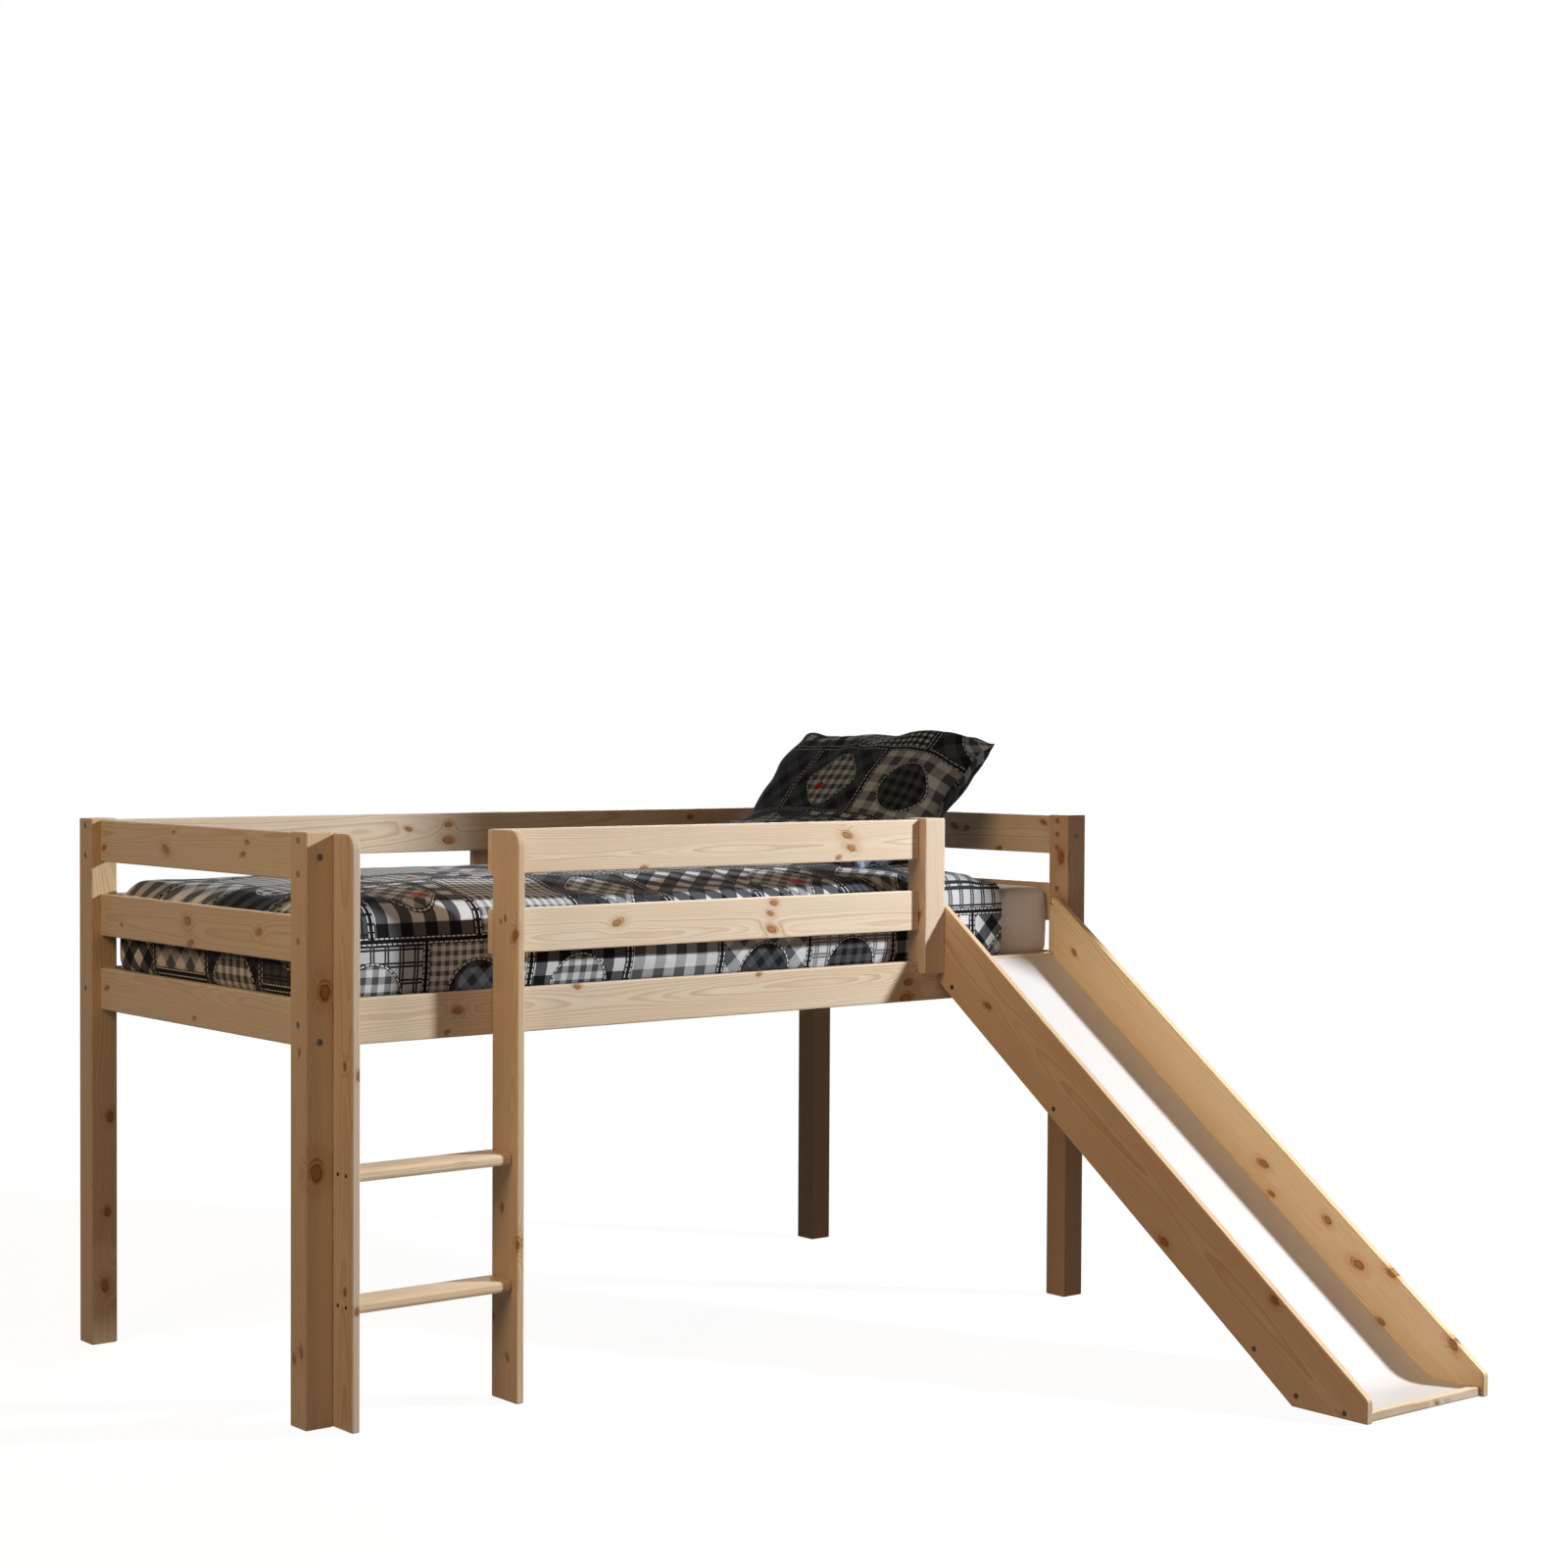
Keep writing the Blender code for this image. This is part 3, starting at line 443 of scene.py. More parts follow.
# boards with knots at known places in the bed's frame: X, Y, Z and size
knownKnots = {
    "end_rail_left_top": [
        (-1.029, 0.726, 1.084, 0.010), (-1.029, 0.397, 1.087, 0.006), (-1.029, 0.379, 1.112, 0.005),
        (-1.029, 1.013, 1.078, 0.006), (-1.029, 0.690, 1.121, 0.004),
    ],
    "end_rail_left_mid": [
        (-1.029, 0.929, 0.916, 0.004), (-1.029, 0.630, 0.941, 0.009), (-1.029, 0.618, 0.896, 0.008),
        (-1.029, 0.331, 0.937, 0.007),
    ],
    "end_rail_left_low": [(-1.029, 1.000, 0.776, 0.006), (-1.029, 0.600, 0.745, 0.005)],
    "guard_front_top": [
        (0.323, 0.131, 1.107, 0.009), (0.335, 0.131, 1.078, 0.008), (0.298, 0.131, 1.058, 0.005),
        (-0.237, 0.131, 1.049, 0.006),
    ],
    "guard_front_mid": [
        (0.114, 0.131, 0.965, 0.007), (0.104, 0.131, 0.942, 0.006), (0.109, 0.131, 0.908, 0.009),
        (-0.303, 0.131, 0.939, 0.008),
    ],
    "side_rail_front": [
        (0.073, 0.131, 0.812, 0.005), (0.508, 0.131, 0.772, 0.0085), (0.503, 0.131, 0.737, 0.012),
        (-0.406, 0.131, 0.812, 0.006), (-0.695, 0.131, 0.780, 0.0075), (-0.720, 0.131, 0.739, 0.004),
    ],
    "short_post": [(0.538, 0.135, 0.917, 0.008)],
    "post_front_left": [
        (-1.027, 0.110, 0.495, 0.013), (-1.009, 0.110, 0.837, 0.012), (-1.050, 0.128, 0.149, 0.007),
        (-1.050, 0.154, 0.131, 0.006), (-1.050, 0.135, 0.720, 0.005),
    ],
    "post_rear_left": [
        (-1.007, 1.030, 0.494, 0.008), (-1.014, 1.030, 0.288, 0.007), (-1.020, 1.030, 0.128, 0.009),
    ],
    "post_front_right": [(0.990, 0.131, 1.042, 0.010), (0.990, 0.140, 0.560, 0.007)],
    "stile_left": [
        (-0.990, 0.069, 0.697, 0.005), (-0.990, 0.068, 0.266, 0.005), (-0.974, 0.041, 0.680, 0.006),
        (-0.979, 0.041, 0.233, 0.005),
    ],
    "stile_right": [
        (-0.615, 0.094, 0.385, 0.006), (-0.615, 0.036, 0.323, 0.010), (-0.615, 0.074, 0.090, 0.005),
        (-0.615, 0.126, 0.162, 0.006), (-0.615, 0.050, 0.930, 0.008), (-0.615, 0.085, 0.962, 0.004),
        (-0.615, 0.100, 0.955, 0.003),
    ],
    "rung_1": [(-0.822, 0.0435, 0.243, 0.006)],
    "rung_2": [(-0.721, 0.0435, 0.492, 0.008)],
    "guard_rear_top": [
        (-0.127, 1.051, 1.111, 0.007), (-0.127, 1.051, 1.074, 0.010), (-0.238, 1.051, 1.102, 0.006),
        (0.595, 1.051, 1.117, 0.006),
    ],
    "end_rail_right_top": [
        (1.011, 0.520, 1.102, 0.007), (1.011, 0.477, 1.098, 0.006), (1.011, 0.362, 1.052, 0.006),
        (1.011, 0.210, 1.120, 0.006),
    ],
    "slide_side_left": [
        (0.598, -0.029, 0.726, 0.007), (0.598, -0.560, 0.277, 0.009), (0.598, -0.857, 0.204, 0.008),
    ],
    "slide_side_right": [
        (0.965, -0.512, 0.400, 0.009), (0.965, -0.537, 0.337, 0.006), (0.965, -0.690, 0.301, 0.008),
        (0.965, -0.772, 0.220, 0.010), (0.965, -0.832, 0.110, 0.007), (0.965, -0.858, 0.215, 0.008),
        (0.965, -1.015, 0.093, 0.009), (0.965, 0.061, 0.821, 0.006),
    ],
}
slideSlope = math.atan(0.7335)  # the slide falls 0.7335 m for each metre forward
slideRun = Vector((0, math.cos(slideSlope), math.sin(slideSlope)))
notPine = ("slide_panel", "bolt", "head_bolt", "mattress", "duvet", "pillow")


# the middle of a board and its turn: X along the grain, Y through it, Z across it
def boardFrame(name):
    low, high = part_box(name)
    size = high - low
    axes = [Vector((1, 0, 0)), Vector((0, 1, 0)), Vector((0, 0, 1))]
    order = sorted(range(3), key=lambda axis: size[axis])
    grain, through = axes[order[2]], axes[order[0]]
    if name.startswith("slide_side"):
        grain, through = slideRun, axes[0]
    turn = Matrix((grain, through, grain.cross(through))).transposed()
    return (low + high) / 2, turn, size


# what is drawn at random for each board: its knots, where its pith runs and how far that
# line leans away from the board; the slide's sloping boards have their own length and width
boardDraws = {
    "slideSize": (1.40, 0.11),
    "knotDepth": 0.85,
    "knotCount": (-0.3, 0.9),
    "knotAlong": 0.47,
    "knotSizes": (0.10, 0.17),
    "knotWidths": (0.03, 0.06),
    "knotScale": 0.88,
    "knotSkew": 0.55,
    "pith": (0.018, 0.060),
    "pithAcross": 0.45,
    "postPith": (0.025, 0.050),
    "postPithAcross": (0.02, 0.05),
    "leanThrough": 0.022,
    "leanAcross": 0.028,
    "ringSteps": (0.8, 1.3),
    "seeds": (0, 40),
    "warmths": (0.25, 0.65),
}


def pineMaterial(name, order):
    generator = np.random.default_rng(pine["seed"] + 97 * order)

    # random draws: from a named range, from nothing to either side, one side or the other
    def draw(key):
        return generator.uniform(*boardDraws[key])

    def either(key, size=1.0):
        return generator.uniform(-boardDraws[key], boardDraws[key]) * size

    def side(size):
        return generator.choice([-size, size])

    middle, turn, size = boardFrame(name)
    inward = turn.transposed()
    thick, wide, length = sorted(size)
    if name.startswith("slide_side"):
        length, wide = boardDraws["slideSize"]
    knots = [(inward @ (Vector(spot[:3]) - middle), spot[3]) for spot in knownKnots.get(name, [])]
    thickBoard = name.startswith(("post", "short", "stile", "rung"))
    if not knots:
        narrowest, widest = boardDraws["knotWidths"]
        knotWidth = max(narrowest, min(wide, widest))
        for spot in range(int(round(length * pine["knotsPerMetre"] + draw("knotCount")))):
            along = either("knotAlong", length)
            through = side(0.5) * thick
            across = generator.uniform(-0.5, 0.5) * wide
            knots.append((Vector((along, through, across)), draw("knotSizes") * knotWidth))
    material, tree, sockets = newMaterial(name + "_pine", {"Specular IOR Level": pine["sheen"]})
    board = boardPlace(tree, middle, turn.to_euler("XYZ"))
    found = {"Bend": 0.0, "Mask": 0.0, "Tone": 0.0}
    for spot, radius in knots:
        inputs = {
            "Board": board,
            "Place": spot,
            "Size": radius * boardDraws["knotScale"],
            "Skew": either("knotSkew"),
            "Depth": boardDraws["knotDepth"] if thickBoard else 0.0,
        }
        found = useGroup(tree, knotGroup, inputs | found)
    face = side(1)
    pith = (0, face * draw("pith"), either("pithAcross", wide))
    if name.startswith(("post", "short")):
        pith = (0, face * draw("postPith"), side(1) * draw("postPithAcross"))
    inputs = {
        "Board": board,
        "Pith": pith,
        "Tilt": (0, either("leanThrough"), either("leanAcross")),
        "Step": pine["ringStep"] * draw("ringSteps"),
        "Seed": draw("seeds"),
        "Warmth": draw("warmths"),
    }
    wood = useGroup(tree, pineGroup, inputs | found)
    # the board's painted light and shade multiplies its wood colour
    colour = tinted(tree, wood["Color"], paintedBoardLight.get(name, (1, 1, 1)))
    dressShader(tree, sockets, colour, wood["Roughness"], wood["Height"], pine["bumpDepth"], 0.8)
    return material


def dressNode(name, material):
    for place in cadNodes[name].material_slots:
        place.material = material


boardNames = [name for name in sorted(cadNodes) if not name.startswith(notPine)]
for order, name in enumerate(boardNames):
    dressNode(name, pineMaterial(name, order))
print("pine boards:", len(boardNames))

# slide surface: white laminate, faintly marked along the ride
laminate = {
    "colour": (0.735, 0.750, 0.775),
    "middle": (0.79, -0.45, 0.40),
    "coat": 0.25,
    "coatGloss": 0.12,
    "hazeTones": (0.985, 1.01),
    "markTone": 0.012,
    "gloss": 0.30,
    "markGloss": 0.12,
    "hazeGloss": 0.05,
    "bumpDepth": 0.00008,
    # width and colour of the painted shade in the gap at the nose
    "gapShadeWide": 0.0035,
    "gapShadeColour": (0.055, 0.045, 0.035),
}


def laminateMaterial():
    coat = {"Coat Weight": laminate["coat"], "Coat Roughness": laminate["coatGloss"]}
    material, tree, sockets = newMaterial("slide_white_laminate", coat)
    run = boardPlace(tree, laminate["middle"], (0, -slideSlope, math.pi / 2))
    haze = cloud(tree, run, (2.0, 9.0, 9.0), 3.0)
    marks = fade(tree, cloud(tree, run, (5.0, 420.0, 5.0)), 0.62, 0.74)
    tone = fade(tree, haze, 0.3, 0.7, *laminate["hazeTones"]) - marks * laminate["markTone"]
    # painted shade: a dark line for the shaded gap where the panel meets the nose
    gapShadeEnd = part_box("slide_panel")[0].y + laminate["gapShadeWide"]
    gapShade = split(tree, objectPlace(tree))[1] < gapShadeEnd
    colour = mixColour(tree, gapShade, tinted(tree, laminate["colour"], tone), laminate["gapShadeColour"])
    gloss = laminate["gloss"] + marks * laminate["markGloss"] + haze * laminate["hazeGloss"]
    grain = cloud(tree, run, 260.0)
    dressShader(tree, sockets, colour, gloss, grain + marks, laminate["bumpDepth"], 0.5)
    return material


dressNode("slide_panel", laminateMaterial())

# fixings: colour, roughness and the three scales of the fine lines
metals = {
    "bolt_steel": ((0.085, 0.075, 0.065), 0.38, (1800.0, 1800.0, 240.0)),
    "bolt_brass": ((0.62, 0.44, 0.20), 0.22, (1500.0, 1500.0, 200.0)),
    "screw_dark": ((0.045, 0.034, 0.022), 0.30, (1500.0, 1500.0, 1500.0)),
}


# brushed or turned metal: fine lines at the three scales, with small spots
def metalMaterial(name, colour, rough, turning):
    material, tree, sockets = newMaterial(name, {"Metallic": 1.0})
    place = objectPlace(tree)
    lines = cloud(tree, place, turning, 3.0)
    spots = cloud(tree, place, 700.0)
    tone = fade(tree, spots * 0.4 + lines * 0.6, 0.3, 0.7, 0.85, 1.1)
    dressShader(tree, sockets, tinted(tree, colour, tone), lines * 0.2 + rough, lines, 0.00004, 0.6)
    return material


steelFinish, brassFinish, screwFinish = (metalMaterial(name, *metals[name]) for name in metals)
for name in cadNodes:
    if name.startswith("head_bolt"):
        dressNode(name, brassFinish)
    elif name.startswith("bolt"):
        dressNode(name, steelFinish)


# a mesh from arrays of points and faces, at the origin
def meshPiece(name, points, faces, material, body, smooth=True):
    mesh = bpy.data.meshes.new(name)
    mesh.from_pydata(points.reshape(-1, 3).tolist(), [], faces)
    mesh.validate()
    mesh.materials.append(material)
    if smooth:
        mesh.shade_smooth()
    piece = bpy.data.objects.new(name, mesh)
    scene.collection.objects.link(piece)
    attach(piece, body)
    return piece


# four-cornered faces of a grid of rows and columns, its columns closed round where asked
def gridFaces(rows, columns, wrap=False, flip=False, start=0):
    column = np.arange(columns if wrap else columns - 1)
    i, j = np.meshgrid(np.arange(rows - 1) * columns, column, indexing="ij")
    after = (j + 1) % columns
    ring = [i + j, i + after, i + columns + after, i + columns + j]
    if flip:
        ring = ring[::-1]
    return (np.stack(ring, axis=-1).reshape(-1, 4) + start).tolist()


# a turned head: radius and height pairs carried round an axis, with a recess whose
# radius changes with the angle (six flats, or the four arms of a cross)
def turnedHead(name, face, axis, profile, recess, material, sides=48):
    axis = Vector(axis)
    across = axis.orthogonal().normalized()
    other = axis.cross(across)
    angle = np.arange(sides) / sides * 2 * math.pi
    flats = np.cos((angle % (math.pi / 3)) - math.pi / 6)
    cross = np.clip(np.abs(np.cos(2 * angle)) ** 6, 0.28, 1)
    form = 1 / flats if recess == "hex" else cross
    rings = np.array([radius * (form if shaped else np.ones(sides)) for radius, _, shaped in profile])
    points = (
        np.array(face)
        + np.array(across) * (rings * np.cos(angle))[..., None]
        + np.array(other) * (rings * np.sin(angle))[..., None]
        + np.array(axis) * np.array([height for _, height, _ in profile])[:, None, None]
    )
    count = len(profile)
    faces = gridFaces(count, sides, wrap=True, flip=True)
    faces.append(list(range(sides)))
    faces.append([(count - 1) * sides + side for side in range(sides)][::-1])
    piece = meshPiece(name, points, faces, material, "frame")
    piece.data.set_sharp_from_angle(angle=math.radians(32))
    return piece


# bolt heads sunk into the posts' bores, from the floor of the recess outwards
boltHead = [
    (0.0010, 0.0006, False),
    (0.0019, 0.0006, True),
    (0.0021, 0.0022, True),
    (0.0046, 0.0024, False),
    (0.0060, 0.0020, False),
    (0.0065, 0.0012, False),
    (0.0065, 0.0001, False),
    (0.0030, 0.0001, False),
]
sunkBolts = {
    "bolt_head_right_1": ((1.050, 1.060, 1.124), (1, 0, 0)),
    "bolt_head_right_2": ((1.050, 1.060, 1.060), (1, 0, 0)),
    "bolt_head_wall_1": ((-1.020, 1.090, 1.092), (0, 1, 0)),
    "bolt_head_wall_2": ((-1.020, 1.090, 0.740), (0, 1, 0)),
    "bolt_head_wall_3": ((1.020, 1.090, 1.092), (0, 1, 0)),
    "bolt_head_wall_4": ((1.020, 1.090, 0.740), (0, 1, 0)),
}
boreDepth = 0.003
for name, (face, axis) in sunkBolts.items():
    floor = Vector(face) - Vector(axis) * boreDepth
    turnedHead(name, floor, axis, boltHead, "hex", steelFinish)

# screws: a shallow dome with a cross cut into it
screwHead = [
    (0.0006, -0.0006, True),
    (0.0024, -0.0005, True),
    (0.0029, 0.0009, True),
    (0.0036, 0.0006, False),
    (0.0040, 0.0001, False),
    (0.0040, -0.0004, False),
]
wideScrewHead = [(reach * 1.4, height * 1.2, cut) for reach, height, cut in screwHead]
# along the slide's boards: distance in front of the bed's front and height
slideScrews = [(0.085, 0.758), (-0.238, 0.518), (-0.806, 0.097), (-0.915, 0.023), (-1.035, 0.012)]
rungScrews = {"heights": (0.237, 0.488), "places": (0.0635, 0.0935)}


def addScrew(name, face, way, profile):
    turnedHead(name, face, (way, 0, 0), profile, "cross", screwFinish)


for count, (along, height) in enumerate(slideScrews):
    for side, edge, way in (("left", 0, -1), ("right", 1, 1)):
        face = (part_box("slide_side_" + side)[edge].x, along, height)
        addScrew("screw_slide_%s_%d" % (side, count + 1), face, way, wideScrewHead)
for side, edge, way in (("left", 0, -1), ("right", 1, 1)):
    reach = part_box("stile_" + side)[edge].x
    for count, height in enumerate(rungScrews["heights"]):
        for pair, along in enumerate(rungScrews["places"]):
            name = "screw_rung_%s_%d_%d" % (side, count + 1, pair + 1)
            addScrew(name, (reach, along, height), way, screwHead)

# wooden plugs over the hidden bolts: flat discs with a fine rounded rim
plugs = {
    "post_front_left": ((1.124, 1.060, 0.932), 0.140),
    "post_front_right": ((1.126, 1.094, 1.063, 0.966), 0.143),
}
plugDisc = [
    (0.0068, -0.0004, False),
    (0.0070, 0.0001, False),
    (0.0066, 0.0006, False),
    (0.0052, 0.0008, False),
]
plugColours = ((0.36, 0.215, 0.115), (0.25, 0.14, 0.070))


def plugMaterial():
    material, tree, sockets = newMaterial("plug_wood", {"Specular IOR Level": 0.3})
    fibre = cloud(tree, objectPlace(tree), 420.0, 3.0)
    colour = mixColour(tree, fade(tree, fibre, 0.3, 0.7), *plugColours)
    dressShader(tree, sockets, colour, fibre * 0.15 + 0.45, fibre, 0.0002, 0.8)
    return material


plugWood = plugMaterial()
for node, (heights, along) in plugs.items():
    for count, height in enumerate(heights):
        name = "plug_%s_%d" % (node[5:], count + 1)
        face = (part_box(node)[0].x, along, height)
        turnedHead(name, face, (-1, 0, 0), plugDisc, "hex", plugWood, 32)
print("fixings placed")

# bedding: shared sizes of the mattress and what lies on it
mattressLow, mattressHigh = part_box("mattress")
bed = {
    "corner": 0.045,
    "headCorner": 0.016,
    "edge": 0.025,
    "sideSpace": 0.0022,
    "duvetBase": mattressHigh.z + 0.0005,
}


# a flat cloth laid over a box with rounded corners and edges: distance over the rim,
# the way it goes and how far it has come down; the corners fan out evenly
def layOver(p, q, left, right, front, rear, rim, turn):
    overX = np.minimum(p - left, 0) + np.maximum(p - right, 0)
    overY = np.minimum(q - front, 0) + np.maximum(q - rear, 0)
    distance = np.maximum(np.abs(overX), np.abs(overY))
    smaller = np.minimum(np.abs(overX), np.abs(overY))
    fan = smaller / np.where(distance > 0, distance, 1) * math.pi / 4
    steep = np.abs(overY) > np.abs(overX)
    wayX = np.where(steep, np.sin(fan), np.cos(fan)) * np.sign(overX)
    wayY = np.where(steep, np.cos(fan), np.sin(fan)) * np.sign(overY)
    flat = rim - turn
    angle = np.clip((distance - flat) / turn, 0, math.pi / 2)
    out = np.minimum(distance, flat) + turn * np.sin(angle)
    hang = np.maximum(distance - flat - turn * math.pi / 2, 0)
    down = turn * (1 - np.cos(angle)) + hang
    x = np.clip(p, left, right) + out * wayX
    y = np.clip(q, front, rear) + out * wayY
    point = np.stack([x, y, -down], axis=-1)
    normal = np.stack([np.sin(angle) * wayX, np.sin(angle) * wayY, np.cos(angle)], axis=-1)
    return point, normal, down


def ease(value, first, second):
    share = np.clip((value - first) / (second - first), 0, 1)
    return share * share * (3 - 2 * share)


# distances outwards from a flat middle: the flat rim, the rounded edge, the fall
def rimSteps(flat, turn, fall, turnCount, fallCount):
    bendEnd = flat + turn * math.pi / 2
    return np.concatenate(
        [
            [flat * 0.5, flat],
            flat + turn * math.pi / 2 * np.arange(1, turnCount + 1) / turnCount,
            bendEnd + fall * np.arange(1, fallCount + 1) / fallCount,
        ]
    )


# gentle folds: waves of seeded lengths, ways and phases added up, from about -1 to 1; the
# pieces name theirs as seed, number of waves, shortest and longest wave
def softFolds(p, q, seed, count, shortest, longest):
    draw = np.random.default_rng(seed)
    total = np.zeros_like(p)
    for wave in range(count):
        length = draw.uniform(shortest, longest)
        way = draw.uniform(0, math.pi)
        phase = draw.uniform(0, 2 * math.pi)
        sideways = q * math.cos(way) - p * math.sin(way)
        forwards = p * math.cos(way) + q * math.sin(way)
        swing = 0.6 * np.sin(2 * math.pi * sideways / (longest * 2.3) + phase * 1.7)
        total += np.sin(2 * math.pi * forwards / length + phase + swing)
    return total / math.sqrt(count)


# two layers of one grid closed round their border by a rounded edge
def closedShell(outer, inner, flat, roundness, steps=3):
    rows, columns = outer.shape[:2]
    total = rows * columns
    border = np.concatenate(
        [
            np.arange(columns),
            np.arange(1, rows) * columns + columns - 1,
            (rows - 1) * columns + np.arange(columns - 2, -1, -1),
            np.arange(rows - 2, 0, -1) * columns,
        ]
    )
    grid = np.arange(total).reshape(rows, columns)
    inside = np.clip(grid // columns, 1, rows - 2) * columns + np.clip(grid % columns, 1, columns - 2)
    o, i = outer.reshape(-1, 3), inner.reshape(-1, 3)
    middle = (o + i) / 2
    away = middle[border] - middle[inside.reshape(-1)[border]]
    away /= np.linalg.norm(away, axis=1)[:, None]
    rings = []
    for step in range(1, steps + 1):
        share = step / (steps + 1)
        bulge = roundness * np.linalg.norm(o[border] - i[border], axis=1) * math.sin(math.pi * share)
        rings.append(o[border] * (1 - share) + i[border] * share + away * bulge[:, None])
    points = np.concatenate([o, i, *rings])
    faces = gridFaces(rows, columns) + gridFaces(rows, columns, flip=True, start=total)
    count = len(border)
    between = [total * 2 + count * step + np.arange(count) for step in range(steps)]
    chain = [border, *between, border + total]
    for first, second in zip(chain, chain[1:]):
        ring = np.stack([first, second, np.roll(second, -1), np.roll(first, -1)], axis=-1)
        faces += ring.tolist()
    cells = flat.reshape(-1, 2)
    cloth = np.concatenate([cells, cells] + [cells[border]] * steps)
    return points, faces, cloth


def clothMap(piece, cloth):
    layer = piece.data.uv_layers.new(name="cloth")
    corner = np.empty(len(piece.data.loops), np.int32)
    piece.data.loops.foreach_get("vertex_index", corner)
    layer.data.foreach_set("uv", cloth[corner].astype(np.float32).ravel())


# woven cloth: threads over and under, slubs and a little lint
def makeWeaveGroup():
    tree, start, end = newGroup(
        "wovenCloth",
        {"Cloth": (0, 0, 0), "Threads": 900.0},
        {"Height": "Float", "Shade": "Float"},
    )
    place = split(tree, start["Cloth"])
    across, along = (calc(tree, "SINE", place[way] * (start["Threads"] * math.pi)) for way in (0, 1))
    slub = cloud(tree, start["Cloth"], (90.0, 1400.0, 1.0))
    slubAcross = cloud(tree, start["Cloth"], (1400.0, 90.0, 1.0))
    rough = slub + slubAcross
    shade = fade(tree, rough, 0.6, 1.4, 0.93, 1.06, "LINEAR")
    feedAll(tree, end, {"Height": across * along * 0.4 + rough, "Shade": shade})
    return tree


weaveGroup = makeWeaveGroup()

# printed patchwork: checks, panes and diamonds in bricks, tacked with dashed seams
patchwork = {
    "wide": 0.248,
    "high": 0.228,
    "seamHalf": 0.0088,
    "dashPlace": 0.0055,
    "dashHalf": 0.0014,
    "dashStep": 0.0118,
    "dashShare": 0.74,
    "bigCheck": 0.056,
    "smallCheck": 0.020,
    "diamond": 0.060,
    "paneStep": 0.034,
    "paneShare": 0.13,
    "paneGap": 0.007,
    "paneTones": (0.75, 0.10),
    "slant": 0.7071,
    "roundRadius": 0.070,
    "ropeHalf": 0.0032,
    "ropeDashHalf": 0.0015,
    "patchCheck": 0.030,
    "patchDiamond": 0.038,
    "dotPlace": (0.030, -0.020),
    "buttonRadius": 0.013,
    "hatchHalf": 0.019,
    "hatchStep": 0.0046,
    "hatchShare": 0.45,
    "lightTones": 0.50,
    "nightTones": 0.44,
    "patchTones": 0.62,
    "lightPatch": (0.7, 0.55),
    "white": (0.75, 0.80, 0.86),
    "grey": (0.108, 0.120, 0.142),
    "dark": (0.011, 0.011, 0.013),
    "accent": (0.58, 0.025, 0.035),
}
# each brick draws three numbers from 0 to 1: its kind of check, its mood and its patch
brickDraws = {
    "smallAbove": 0.30,
    "diamondAbove": 0.48,
    "paneAbove": 0.74,
    "lightBelow": 0.30,
    "nightAbove": 0.62,
    "squareAbove": 0.5,
    "patchAbove": 0.38,
    "plainPatchAbove": 0.72,
    "buttonAbove": 0.80,
    "hatchAbove": 0.45,
    "hatchBelow": 0.70,
}


